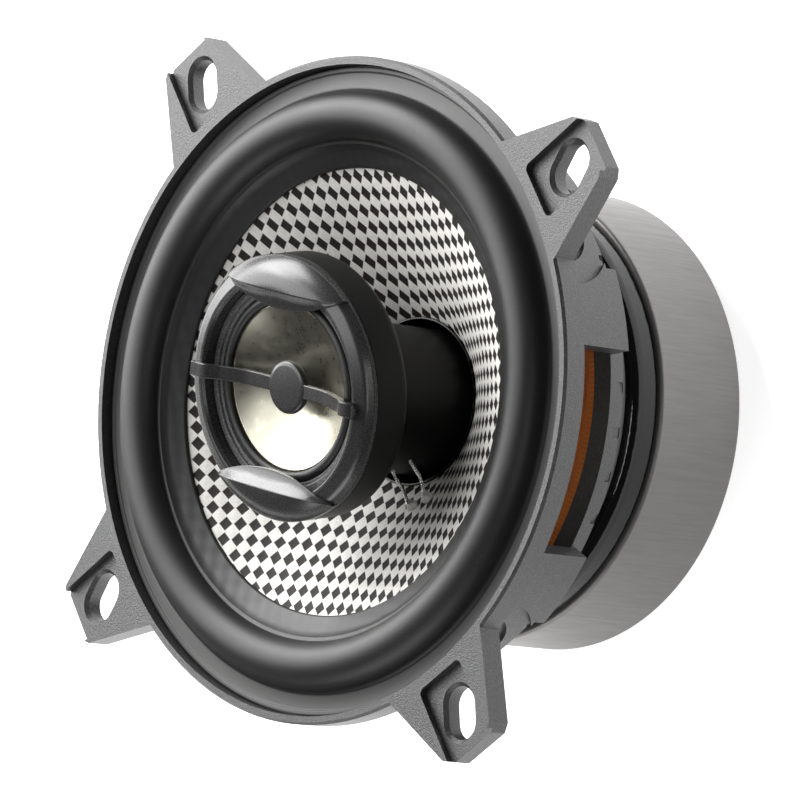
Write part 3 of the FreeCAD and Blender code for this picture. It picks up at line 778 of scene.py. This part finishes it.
# ---- basket and magnet ----------------------------------------------------------------------
@dataclass
class Motor:
    """Front plate, ring magnet and back plate with its pole, stacked behind the basket."""

    plate_r: float = 35.2
    plate_front: float = -27.5
    plate_back: float = -33.0
    plate_round: float = 3.5
    gap_r: float = 14.0
    magnet_r: float = 36.1
    magnet_bore: float = 17.0
    magnet_back: float = -51.0
    yoke_r: float = 30.0
    back: float = -55.5
    pole_r: float = 12.3
    bolt_r: float = 2.5
    counterbore_r: float = 5.4

    def build(self) -> None:
        """Makes and dresses the three discs and paints the bolt."""
        plate = turned("front_plate_turned", [
            (self.gap_r, self.plate_back, 0.2), (self.plate_r, self.plate_back, 0.4),
            (self.plate_r, self.plate_front, self.plate_round), (self.gap_r, self.plate_front, 0.3)])
        fit(plate, Dress.ENAMEL, "black_steel", "front_plate", body="frame")
        magnet = turned("magnet_ring", [
            (self.magnet_bore, self.magnet_back, 0.3), (self.magnet_r, self.magnet_back, 0.7),
            (self.magnet_r, self.plate_back, 0.7), (self.magnet_bore, self.plate_back, 0.3)])
        fit(magnet, Dress.MAGNET, "ferrite", "magnet", body="frame")
        yoke = turned("back_plate_and_pole", [
            (self.bolt_r + 0.2, self.back + 3.4, 0.1), (self.counterbore_r, self.back + 3.4, 0.2),
            (self.counterbore_r, self.back, 0.4), (self.yoke_r, self.back, 1.4),
            (self.yoke_r, self.magnet_back, 0.3), (self.pole_r, self.magnet_back, 0.6),
            (self.pole_r, self.plate_front, 0.4), (self.bolt_r + 0.2, self.plate_front, 0.2)])
        fit(yoke, Dress.YOKE, "black_steel", "yoke", body="frame")
        repaint(Dress.ZINC, "post_bolt")


@dataclass
class Basket:
    """Moulded basket with its ears, and the four screws that hold it on the front plate."""

    edge_mm: float = 0.22

    def build(self) -> None:
        """Rounds the moulding's edges and dresses it."""
        shell = softened("basket", self.edge_mm, "basket_moulding")
        fit(shell, Dress.BASKET, "basket_plastic", "basket", body="frame")
        screws = softened("basket_screws", 0.12, "basket_screws_plated")
        fit(screws, Dress.ZINC, "zinc_steel", "basket_screws", body="frame")


# ---- woofer ---------------------------------------------------------------------------------
@dataclass
class Woofer:
    """Cone, rubber edge, centring disc and coil."""

    coil_r: float = 13.05
    former_foot: float = -35.0
    neck_z: float = -16.2
    middle: tuple[float, float] = (24.5, -6.3)
    edge: tuple[float, float] = (38.2, 2.0)
    thick: float = 0.7
    weave_r: float = 34.2
    relief_mm: float = 0.06
    roll_r: float = 42.0
    roll_half: float = 4.0
    roll_rise: float = 3.8
    seat_r: float = 49.5
    shelf_z: float = 1.2
    rubber: float = 0.7
    spider_in: tuple[float, float] = (15.2, -20.2)
    spider_out: tuple[float, float] = (35.4, -16.8)
    spider_rim_r: float = 39.3
    spider_waves: int = 5
    spider_wave_mm: float = 1.1
    spider_thick: float = 0.5
    solder_r: float = 17.2
    solder_at: tuple[float, float] = (-62.0, -50.0)
    solder_ball: float = 0.95

    def cone_line(self, steps: int) -> Array:
        """The cone's front from neck to edge, on one circle through neck, middle and edge."""
        return arc_through((13.0, self.neck_z), self.middle, self.edge, steps)

    def cone_height(self, radius: "Array | float") -> "Array | float":
        """Front of the cone at a radius, read from its circle."""
        line = self.cone_line(200)
        return np.interp(radius, line[:, 0], line[:, 1])

    def cone(self) -> None:
        """Cloth cone: its front carries the weave's relief, fading out at the neck and the edge."""
        fine = np.linspace(self.coil_r, self.weave_r + 0.6, 84)
        lip = np.linspace(self.weave_r + 1.2, self.edge[0], 6)
        back = np.linspace(self.edge[0], self.coil_r, 22)
        front_r = np.concatenate([fine, lip])
        front = np.stack([front_r, self.cone_height(front_r)], 1)
        rear = np.stack([back, self.cone_height(back) - self.thick], 1)
        outline = np.concatenate([front, rear, front[:1]])
        grid = turned_grid(outline, 700)
        x, y = grid[..., 0], grid[..., 1]
        radius = np.hypot(x, y)
        fade = np.clip((radius - self.coil_r) / 1.5, 0, 1)
        fade = fade * np.clip((self.edge[0] - radius) / 2.0, 0, 1)
        grid[..., 2] += self.relief_mm * fade * WEAVE.relief(x, y)
        piece = surface("woven_cone", grid)
        fit(piece, Dress.GLASS, "woven_glass", "cone", body="cone_assembly")

    def surround(self) -> None:
        """Rubber half-roll with its glued flange, and a lip in which the cloth shows faintly."""
        t = self.rubber
        top = self.shelf_z + t
        outer = self.roll_r + self.roll_half
        inner = self.roll_r - self.roll_half
        flange = rounded_path([
            (outer - 0.1, self.shelf_z, 0), (self.seat_r, self.shelf_z, 0.1),
            (self.seat_r, top + 0.25, 0.25), (self.seat_r - 0.7, top + 0.25, 0.2),
            (self.seat_r - 0.9, top, 0.2), (outer + 0.5, top, 0)], False)
        angle = np.linspace(math.radians(12), math.radians(168), 40)
        rise = self.roll_rise
        roll = np.stack([self.roll_r + (self.roll_half - 0.1) * np.cos(angle),
                         top - 0.35 + (rise + 0.35) * np.sin(angle) ** 0.9], 1)
        blend_in = np.array([[outer + 0.15, top + 0.08]])
        lip_r = np.linspace(inner - 0.25, self.weave_r + 0.15, 26)
        lip_rise = 0.5 + 0.5 * np.clip((lip_r - (inner - 1.4)) / 1.2, 0, 1) ** 2
        lip = np.stack([lip_r, self.cone_height(lip_r) + 0.05 + lip_rise * 0.9], 1)
        edge = np.array([[self.weave_r, self.cone_height(self.weave_r) + 0.3]])
        under_r = np.linspace(self.weave_r + 0.02, inner - 0.1, 12)
        under = np.stack([under_r, self.cone_height(under_r) + 0.06], 1)
        under_angle = np.linspace(math.radians(172), math.radians(8), 30)
        under_roll = np.stack([self.roll_r + (self.roll_half - t) * np.cos(under_angle),
                               top - t + (rise + 0.1) * np.sin(under_angle)], 1)
        close = np.array([[self.edge[0] + 0.12, self.edge[1] + 0.25]])
        outline = np.concatenate([flange, blend_in, roll, lip, edge, under, close, under_roll, flange[:1]])
        grid = turned_grid(outline, 480)
        radius = np.hypot(grid[..., 0], grid[..., 1])
        shown = (grid[..., 2] > self.cone_height(radius) + 0.2) & (radius < inner - 0.3)
        grid[..., 2] += np.where(shown, 0.03 * WEAVE.relief(grid[..., 0], grid[..., 1]), 0.0)
        piece = surface("rubber_surround", grid)
        radial_blend(piece, inner, outer)
        fit(piece, Dress.RUBBER, "rubber", "surround")

    def spider(self) -> None:
        """Cupped centring disc: height is a straight slope plus a sine of the radius."""
        r0, z0 = self.spider_in
        r1, z1 = self.spider_out
        radius = np.linspace(r0, r1, self.spider_waves * 16 + 1)
        share = (radius - r0) / (r1 - r0)
        waves = self.spider_wave_mm * np.sin(FULL_TURN * self.spider_waves * share)
        height = z0 + (z1 - z0) * share + waves
        top = np.stack([radius, height], 1)
        rim = np.array([[self.spider_rim_r - 0.1, z1], [self.spider_rim_r, z1 - 0.1],
                        [self.spider_rim_r, z1 - self.spider_thick]])
        hub = np.array([[self.coil_r, z0 - self.spider_thick], [self.coil_r, z0]])
        rear = top[::-1] - (0, self.spider_thick)
        outline = np.concatenate([top, rim, rear, hub, top[:1]])
        piece = surface("centring_disc", turned_grid(outline, 360))
        radial_blend(piece, r0, r1)
        fit(piece, Dress.CLOTH, "orange_cloth", "spider")

    def solder(self) -> None:
        """Irregular solder joints on the cone: balls whose radius wanders with direction."""
        grids = []
        rows, cols = np.linspace(0, math.pi, 25), np.linspace(0, FULL_TURN, 41)
        down, round_ = np.meshgrid(rows, cols, indexing="ij")
        level = float(self.cone_height(self.solder_r)) + 0.45
        for index, at in enumerate(self.solder_at):
            a = math.radians(at)
            middle = np.array([self.solder_r * math.cos(a), self.solder_r * math.sin(a), level])
            lumps = 1 + 0.16 * np.sin(3 * round_ + index) * np.sin(down)
            lumps = lumps + 0.12 * np.sin(5 * down + 2 * index) * np.sin(down)
            radius = self.solder_ball * lumps
            flat = radius * np.sin(down)
            ball = [flat * np.cos(round_), flat * np.sin(round_), 0.85 * radius * np.cos(down)]
            grids.append(middle + np.stack(ball, -1))
        piece = surface("cone_solder", *grids)
        fit(piece, Dress.SOLDER, "silver_braid", "cone_solder_joints", body="cone_assembly")

    def build(self) -> None:
        """Makes the woofer's visible pieces and paints its coil."""
        self.cone()
        self.surround()
        self.spider()
        self.solder()
        low, high = self.former_foot, self.neck_z + 0.5
        inner, outer = self.coil_r - 0.3, self.coil_r - 0.05
        former = turned("coil_former_tube", [(inner, low, 0.05), (outer, low, 0.05),
                                             (outer, high, 0.05), (inner, high, 0.05)])
        fit(former, Dress.FORMER, "coil_paper", "coil_former", body="cone_assembly")
        repaint(Dress.COPPER, "voice_coil")


# ---- tweeter --------------------------------------------------------------------------------
@dataclass
class Tweeter:
    """Swivelling tweeter head on its post, worked out in the head's own leaning frame."""

    pivot_z: float = 8.8
    lean: float = 11.0
    rim_r: float = 20.3
    seat_r: float = 14.0
    wall: float = 1.5
    face_r: float = 16.3
    crest: tuple[float, float] = (17.3, 4.8)
    dome_r: float = 12.8
    dome_z: float = 2.2
    dome_depth: float = 3.2
    disc_r: float = 4.1
    post_r: float = 11.4
    post_foot: float = -27.5
    bar_low: float = 1.9
    bar_high: float = 5.35
    bar_reach: float = 18.3
    petal_half: float = 12.75
    petal_ridge: float = 0.36
    petal_edge: float = 0.3
    matrix: Array = field(init=False)

    def __post_init__(self) -> None:
        """Works out the matrix from the head's frame to the part's."""
        lean = Matrix.Rotation(math.radians(self.lean), 4, "X")
        self.matrix = np.array(Matrix.Translation((0, 0, self.pivot_z)) @ lean)

    def ball(self, radius: float, degrees: float) -> tuple[float, float]:
        """(r, z) on a ball round the pivot, measured from straight down."""
        a = math.radians(degrees)
        return radius * math.sin(a), -radius * math.cos(a)

    def post(self) -> None:
        """Post with a dished top that seats the ball of the head."""
        dish = self.seat_r + 0.3
        lip = self.pivot_z - math.sqrt(dish ** 2 - self.post_r ** 2)
        angles = np.radians(np.linspace(math.degrees(math.asin((self.post_r - 0.25) / dish)), 0, 24))
        bowl = np.stack([dish * np.sin(angles), self.pivot_z - dish * np.cos(angles)], 1)
        side = rounded_path([(0, self.post_foot, 0), (self.post_r, self.post_foot, 0.6),
                             (self.post_r, lip, 0.25), (float(bowl[0, 0]), float(bowl[0, 1]), 0)], False)
        outline = np.concatenate([side, bowl, side[:1]])
        post = surface("tweeter_post_turned", turned_grid(outline))
        fit(post, Dress.HOUSING, "black_plastic", "tweeter_post", body="frame")

    def shell(self) -> None:
        """Rear shell: straight side, shoulder and ball-shaped seat."""
        inner = self.seat_r - self.wall
        out_angles = np.linspace(69, 24, 26)
        ball_out = np.array([self.ball(self.seat_r, float(a)) for a in out_angles])
        ball_in = np.array([self.ball(inner, float(a)) for a in out_angles[::-1]])
        side = rounded_path([(self.rim_r - 1.5, 2.4, 0), (self.rim_r, 2.4, 0.2), (self.rim_r, -3.4, 1.4),
                             (self.rim_r - 1.6, -4.7, 0.5), (*self.ball(self.seat_r, 69.5), 0)], False)
        back = rounded_path([(*self.ball(inner, 69.5), 0), (self.rim_r - 2.2, -3.0, 0.3),
                             (self.rim_r - 1.5, -2.3, 0.3), (self.rim_r - 1.5, 2.4, 0)], False)
        outline = np.concatenate([side, ball_out, ball_in, back, side[:1]])
        shell = surface("tweeter_shell", placed(turned_grid(outline), self.matrix))
        fit(shell, Dress.HOUSING, "black_plastic", "tweeter_housing", body="tweeter_head")

    def front(self) -> None:
        """Bezel, stepped face ring, dome and the dome's edge."""
        crest_r, crest_z = self.crest
        bezel = turned("tweeter_bezel_ring", [
            (self.rim_r, 2.45, 0.1), (self.rim_r, 3.0, 0.6), (self.rim_r - 0.95, 4.15, 1.6),
            (crest_r + 0.2, crest_z, 0.5), (crest_r - 0.3, crest_z, 0.25),
            (self.face_r + 0.3, 4.3, 0.3), (self.face_r + 0.05, 3.4, 0.1),
            (self.face_r + 0.05, 1.4, 0.1), (18.3, 1.4, 0.1), (18.3, 2.45, 0.1)], self.matrix)
        fit(bezel, Dress.TRIM, "black_plastic", "tweeter_bezel", body="tweeter_head")
        steps = turned("tweeter_face_steps", [
            (12.3, 0.4, 0.1), (self.face_r, 0.4, 0.1), (self.face_r, 2.95, 0.12), (15.25, 2.95, 0.12),
            (15.1, 2.6, 0.08), (14.6, 2.6, 0.1), (14.4, 2.15, 0.06), (13.2, 2.15, 0.06), (13.2, 1.0, 0.1),
            (12.3, 1.0, 0.1)], self.matrix)
        fit(steps, Dress.STEPS, "black_plastic", "tweeter_face_ring", body="tweeter_head")
        radius = np.linspace(0, self.dome_r, 40)
        level = self.dome_z - self.dome_depth * (1 - (radius / self.dome_r) ** 2)
        front = np.stack([radius, level], 1)
        outline = np.concatenate([front, (front - (0, 0.2))[::-1], front[:1]])
        dome = surface("tweeter_dome_dish", placed(turned_grid(outline), self.matrix))
        fit(dome, Dress.DOME, "dome_metal", "tweeter_dome", body="tweeter_diaphragm")
        arc = np.linspace(math.pi, 0, 14)
        roll = np.stack([13.58 + 0.72 * np.cos(arc), self.dome_z + 0.12 + 0.5 * np.sin(arc)], 1)
        foot = np.array([[14.33, self.dome_z - 0.02], [self.dome_r + 0.03, self.dome_z - 0.02]])
        ring = turned_grid(np.concatenate([roll, foot, roll[:1]]))
        edge = surface("tweeter_dome_roll", placed(ring, self.matrix))
        self.bend_edge(edge)
        fit(edge, Dress.RUBBER, "rubber", "tweeter_dome_edge")

    def bend_edge(self, edge: bpy.types.Object) -> None:
        """Bakes the edge's placement into its mesh and works out each point's radius in the head's frame.
        """
        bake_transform(edge)
        spots = np.empty(len(edge.data.vertices) * 3, np.float32)
        edge.data.vertices.foreach_get("co", spots)
        own = (spots.reshape(-1, 3) / MM - self.matrix[:3, 3]) @ self.matrix[:3, :3]
        radius = np.hypot(own[:, 0], own[:, 1])

    def petal_grid(self, side: int) -> Array:
        """One lens-shaped petal over the bezel, as a closed section carried from tip to tip.

        Across the lens, s runs -1 to 1.  The inner edge is the parabola 12.3 + 3.2 (x / 13)^2 and
        the outer edge is the rim's circle.  From the inner edge the section rises through a hollow
        to a ridge at petal_ridge of its width, then falls on an arc to the rim, and it narrows to
        an upright edge petal_edge high at each tip.
        """
        s = np.sin(np.linspace(-math.pi / 2, math.pi / 2, 121))[:, None]
        x_in = self.petal_half * s
        y_in = 12.3 + 3.2 * (x_in / 13) ** 2
        turn = math.atan2(self.petal_half, 12.3 + 3.2 * (self.petal_half / 13) ** 2) * s
        t = np.linspace(0, 1, 48)[None]
        x = x_in + (self.rim_r * np.sin(turn) - x_in) * t
        y = y_in + (self.rim_r * np.cos(turn) - y_in) * t
        radius = np.hypot(x, y)
        base = np.interp(radius, [12.0, 16.8, 17.6, 19.3, 20.3, 21.4], [4.75, 4.75, 4.7, 4.1, 2.9, 2.9])
        back = arc_through((20.35, 3.75), (18.0, 5.85), (14.2, 6.4), 40)[::-1]
        crown = np.interp(radius, back[:, 0], back[:, 1])
        rise = np.clip(t / self.petal_ridge, 0, 1) ** 1.7
        top_z = base + self.petal_edge + (crown - base - self.petal_edge) * rise
        top = np.stack([x, side * y, top_z], -1)
        low = np.stack([x, side * y, base], -1)
        return np.concatenate([top, low[:, ::-1], top[:, :1]], axis=1)

    def guard(self) -> None:
        """Petals, cross-bar and centre disc in front of the dome."""
        for side, word in ((1, "upper"), (-1, "lower")):
            petal = surface(f"guard_petal_{word}", placed(self.petal_grid(side), self.matrix))
            fit(petal, Dress.TRIM, "black_plastic", "dome_guard", body="tweeter_head")
        low, high, reach = self.bar_low, self.bar_high, self.bar_reach
        half = [(reach, high, 0), (15.4, high, 1.2), (13.6, 4.0, 2.5), (9.0, low + 0.35, 6.0)]
        route = rounded_path([(-x, z, r) for x, z, r in half] + [(0, low, 6.0)] + half[::-1], False)
        path = np.stack([route[:, 0], 0 * route[:, 0], route[:, 1]], 1)
        section = rounded_path([(-1.1, -0.5, 0.15), (1.1, -0.5, 0.15),
                                (1.1, 0.5, 0.28), (-1.1, 0.5, 0.28)], True)
        sections = np.broadcast_to(section, (len(path), *section.shape))
        sides = np.broadcast_to(np.array([0.0, 1.0, 0.0]), path.shape)
        bar = surface("guard_bar", placed(capped(swept_grid(path, sections, sides)), self.matrix))
        fit(bar, Dress.TRIM, "black_plastic", "dome_guard", body="tweeter_head")
        r = self.disc_r
        disc = turned("guard_disc", [(0, 1.3, 0), (r - 0.3, 1.3, 0.3), (r, 1.9, 0.3), (r - 0.1, 2.55, 0.35),
                                     (r - 0.7, 2.75, 0.5), (0, 2.95, 0)], self.matrix, 160)
        fit(disc, Dress.TRIM, "black_plastic", "dome_guard", body="tweeter_head")

    def build(self) -> None:
        """Makes the head and post and paints what is inside."""
        self.post()
        self.shell()
        self.front()
        self.guard()
        repaint(Dress.ZINC, "head_retainer", "tweeter_pole")
        repaint(Dress.NICKEL, "tweeter_pot", "tweeter_magnet")
        repaint(Dress.PAPER, "tweeter_coil_former")
        repaint(Dress.COPPER, "tweeter_voice_coil")


# ---- terminals, capacitor and leads ---------------------------------------------------------
@dataclass
class Wiring:
    """Terminal panel, high-pass capacitor and the leads to coil and tweeter."""

    capacitor_r: float = 4.0
    capacitor_half: float = 7.5
    capacitor_at: tuple[float, float] = (-41.6, -24.75)
    solder_r: float = 17.2
    solder_at: tuple[float, float] = (-62.0, -50.0)

    def route(self, points: list[tuple], name: str) -> Array:
        """Smooth line of a quadratic NURBS spline with these control points, read as millimetres."""
        curve = bpy.data.curves.new(name, "CURVE")
        curve.dimensions = "3D"
        curve.resolution_u = 14
        spline = curve.splines.new("NURBS")
        spline.points.add(len(points) - 1)
        spline.points.foreach_set("co", [c for p in points for c in (*(v * MM for v in p), 1.0)])
        spline.use_endpoint_u = True
        spline.order_u = 3
        holder = bpy.data.objects.new(name, curve)
        bpy.context.scene.collection.objects.link(holder)
        bpy.context.view_layer.update()
        line = bpy.data.meshes.new_from_object(holder)
        spots = np.empty(len(line.vertices) * 3, np.float32)
        line.vertices.foreach_get("co", spots)
        bpy.data.objects.remove(holder)
        bpy.data.curves.remove(curve)
        bpy.data.meshes.remove(line)
        return spots.reshape(-1, 3).astype(float) / MM

    def tube(self, points: list[tuple], radius: float, plait: float, name: str) -> Array:
        """Lead along a route: its radius swells where one of the crossing strands comes to the top.

        The radius is r (1 + plait times the larger of sin(4 a + b) and sin(4 a - b)), where a
        goes round the lead and b grows along it by one turn for each seven radii.

        Returns:
            The closed grid of the tube.
        """
        line = self.route(points, name)
        steps = np.concatenate([[0], np.cumsum(np.linalg.norm(np.diff(line, axis=0), axis=1))])
        even = np.linspace(0, steps[-1], max(24, int(steps[-1] / (0.35 * radius))))
        path = np.stack([np.interp(even, steps, line[:, k]) for k in range(3)], 1)
        around = np.linspace(0, FULL_TURN, 25)
        b = (even / (7 * radius) * FULL_TURN)[:, None]
        strands = np.maximum(np.sin(4 * around + b), np.sin(4 * around - b))
        r = radius * (1 - plait + plait * strands)
        sections = np.stack([r * np.cos(around), r * np.sin(around)], -1)
        side = np.broadcast_to(np.array([0.12, 0.9, 0.42]), path.shape)
        return capped(swept_grid(path, sections, side))

    def tinsel(self) -> None:
        """Braided leads from the panel to the back of the cone, one each side of X."""
        for side, word in ((-1, "positive"), (1, "negative")):
            points = [(-42.75, side * 3.6, -10.5), (-40.6, side * 4.2, -11.8), (-37.4, side * 4.9, -13.4),
                      (-34.0, side * 5.6, -13.3), (-31.0, side * 6.1, -11.6), (-28.2, side * 6.5, -8.9),
                      (-25.4, side * 6.8, -6.35)]
            piece = surface(f"tinsel_braid_{word}", self.tube(points, 0.5, 0.12, f"tinsel_line_{word}"))
            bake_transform(piece)
            fit(piece, Dress.BRAID, "silver_braid", f"tinsel_lead_{word}")

    def tweeter_leads(self, cone_z: float) -> None:
        """Two thin wires from the post's side to the solder joints on the cone."""
        grids = []
        for index, (at, bend) in enumerate(zip(self.solder_at, (-3.0, 4.0))):
            spots = [(11.45, at + bend, -9.5), (13.0, at + bend, -9.9), (14.8, at + bend * 0.6, -11.2),
                     (self.solder_r, at, cone_z + 1.2)]
            turns = [math.radians(a) for _, a, _ in spots]
            points = [(r * math.cos(a), r * math.sin(a), z) for (r, _, z), a in zip(spots, turns)]
            grids.append(self.tube(points, 0.3, 0.14, f"tweeter_line_{index}"))
        piece = surface("tweeter_wires", *grids)
        a = math.radians(sum(self.solder_at) / 2)
        toward = np.array([math.cos(a), math.sin(a), 0.0]) * MM
        start, end = tuple(11.8 * toward), tuple((self.solder_r - 0.8) * toward)
        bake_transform(piece)
        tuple(start)
        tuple(end)
        fit(piece, Dress.BRAID, "silver_braid", "tweeter_leads")

    def capacitor(self) -> None:
        """Sleeved can along Y with rounded ends, a crimp groove and its two bare wires."""
        r, half = self.capacitor_r, self.capacitor_half
        outline = rounded_path([
            (0, -half, 0), (r - 1.2, -half, 0.2), (r - 1.0, -half + 0.25, 0.2), (r, -half + 0.1, 0.5),
            (r, half - 2.4, 0.5), (r - 0.3, half - 2.0, 0.4), (r, half - 1.6, 0.5),
            (r, half, 0.6), (0, half, 0)], False)
        grid = turned_grid(np.concatenate([outline, outline[:1]]), 120)
        x0, z0 = self.capacitor_at
        grid = np.stack([grid[..., 0] + x0, grid[..., 2], grid[..., 1] + z0], -1)
        fit(surface("capacitor_can", grid), Dress.SLEEVE, "cap_sleeve", "capacitor", body="frame")
        wires = []
        for side, tab_y in ((-1, -4.55), (1, 3.95)):
            points = [(x0, side * half, z0), (x0, side * (half + 2.2), z0),
                      (x0 - 3.6, side * (half + 2.4), z0 + 5.0), (-46.0, side * 6.6, -16.6),
                      (-45.6, tab_y + side * 0.1, -15.6)]
            wires.append(self.tube(points, 0.35, 0.0, f"capacitor_line_{side + 1}"))
        fit(surface("capacitor_wires", *wires), Dress.ZINC, "silver_braid", "capacitor_leads", body="frame")

    def panel(self) -> None:
        """Terminal block, spade tabs and rivets with their edges rounded."""
        block = softened("terminal_block", 0.25, "terminal_board")
        fit(block, Dress.BOARD, "brown_board", "terminal_block", body="frame")
        for word in ("positive", "negative"):
            tab = softened(f"terminal_{word}", 0.08, f"terminal_tab_{word}")
            fit(tab, Dress.BRASS, "tinned_brass", f"terminal_{word}", body="frame")
        rivets = softened("terminal_rivets", 0.3, "terminal_rivet_heads")
        fit(rivets, Dress.BRASS, "tinned_brass", "terminal_rivets", body="frame")

    def build(self, cone_z: float) -> None:
        """Makes every piece of the wiring; cone_z is the cone's height at the solder joints."""
        self.panel()
        self.capacitor()
        self.tinsel()
        self.tweeter_leads(cone_z)


# ---- studio ---------------------------------------------------------------------------------
@dataclass
class Studio:
    """Camera, pale floor and soft lights."""

    place: tuple[float, float, float] = (0.65504, 0.06224, 0.63324)
    right: tuple[float, float, float] = (0.67906, 0.19604, -0.70742)
    up: tuple[float, float, float] = (-0.18517, 0.97826, 0.09335)
    back: tuple[float, float, float] = (0.71034, 0.06761, 0.7006)
    lens: float = 270.0
    sensor: float = 36.0
    floor_half: float = 3.0
    floor_glow: float = 0.78
    sky_shade: float = 0.055
    lamps: dict[str, tuple] = field(default_factory=lambda: {
        "left_high": ((-0.6, 0.5, 0.45), (0.5, 0.5), 10.5),
        "left": ((-0.75, 0.1, 0.5), (0.55, 0.55), 5.6),
        "left_edge": ((-0.88, 0.1, 0.05), (0.4, 0.7), 3.4),
        "low": ((0, -0.8, 0.35), (0.6, 0.4), 2.6),
        "front": ((-0.35, 0.1, 0.85), (0.5, 0.5), 2.6),
        "edge_strip": ((0.62, -0.05, 0.6), (0.5, 0.06), 0.8),
    })

    def camera(self) -> None:
        """A long lens in front of the speaker, rolled so that +Y is up."""
        data = bpy.data.cameras.new("camera")
        data.lens = self.lens
        data.sensor_width = self.sensor
        data.clip_start = 0.01
        camera = bpy.data.objects.new("camera", data)
        bpy.context.scene.collection.objects.link(camera)
        turn = Matrix((self.right, self.up, self.back)).transposed().to_4x4()
        camera.matrix_world = Matrix.Translation(self.place) @ turn
        bpy.context.scene.camera = camera

    def floor(self, level: float) -> None:
        """Pale floor at the back plate's level."""
        h = self.floor_half
        mesh = bpy.data.meshes.new("floor")
        corners = [(-h, -h, level), (h, -h, level), (h, h, level), (-h, h, level)]
        mesh.from_pydata(corners, [], [(0, 1, 2, 3)])
        floor = bpy.data.objects.new("floor", mesh)
        bpy.context.scene.collection.objects.link(floor)
        recipe = Recipe("floor_white")
        cloud = recipe.noise(recipe.place(), 3.0, 2.0)
        recipe.set(Base_Color=recipe.mix(cloud, (0.86, 0.86, 0.86), (0.9, 0.9, 0.9)), Roughness=0.9)
        recipe.set(Emission_Color=(1.0, 1.0, 1.0), Emission_Strength=self.floor_glow)
        mesh.materials.append(recipe.material)

    def softbox(self, name: str, place: tuple, size: tuple, watts: float) -> None:
        """One rectangular soft light at a place, aimed at the origin."""
        data = bpy.data.lights.new(name, "AREA")
        data.shape = "RECTANGLE"
        data.size, data.size_y = size
        data.energy = watts
        lamp = bpy.data.objects.new(name, data)
        bpy.context.scene.collection.objects.link(lamp)
        look = (-Vector(place)).to_track_quat("-Z", "Y")
        lamp.matrix_world = Matrix.Translation(place) @ look.to_matrix().to_4x4()

    def sky(self, shade: float) -> None:
        """Even white light from all round."""
        world = bpy.data.worlds.new("studio")
        world.use_nodes = True
        world.node_tree.nodes["Background"].inputs["Color"].default_value = (1, 1, 1, 1)
        world.node_tree.nodes["Background"].inputs["Strength"].default_value = shade
        bpy.context.scene.world = world
        bpy.context.scene.view_settings.view_transform = "Standard"

    def build(self, level: float) -> None:
        """Sets up the studio with its floor at a level, in metres."""
        self.camera()
        self.floor(level)
        self.sky(self.sky_shade)
        for name, (place, size, watts) in self.lamps.items():
            self.softbox(name, place, size, watts)


def main() -> None:
    """Builds the studio and every sub-assembly."""
    Studio().build(CAD_BOX[0][2])
    Basket().build()
    Motor().build()
    woofer = Woofer()
    woofer.build()
    Tweeter().build()
    wiring = Wiring()
    wiring.build(float(woofer.cone_height(wiring.solder_r)))
    log.info("size written")


if __name__ == "__main__":
    main()
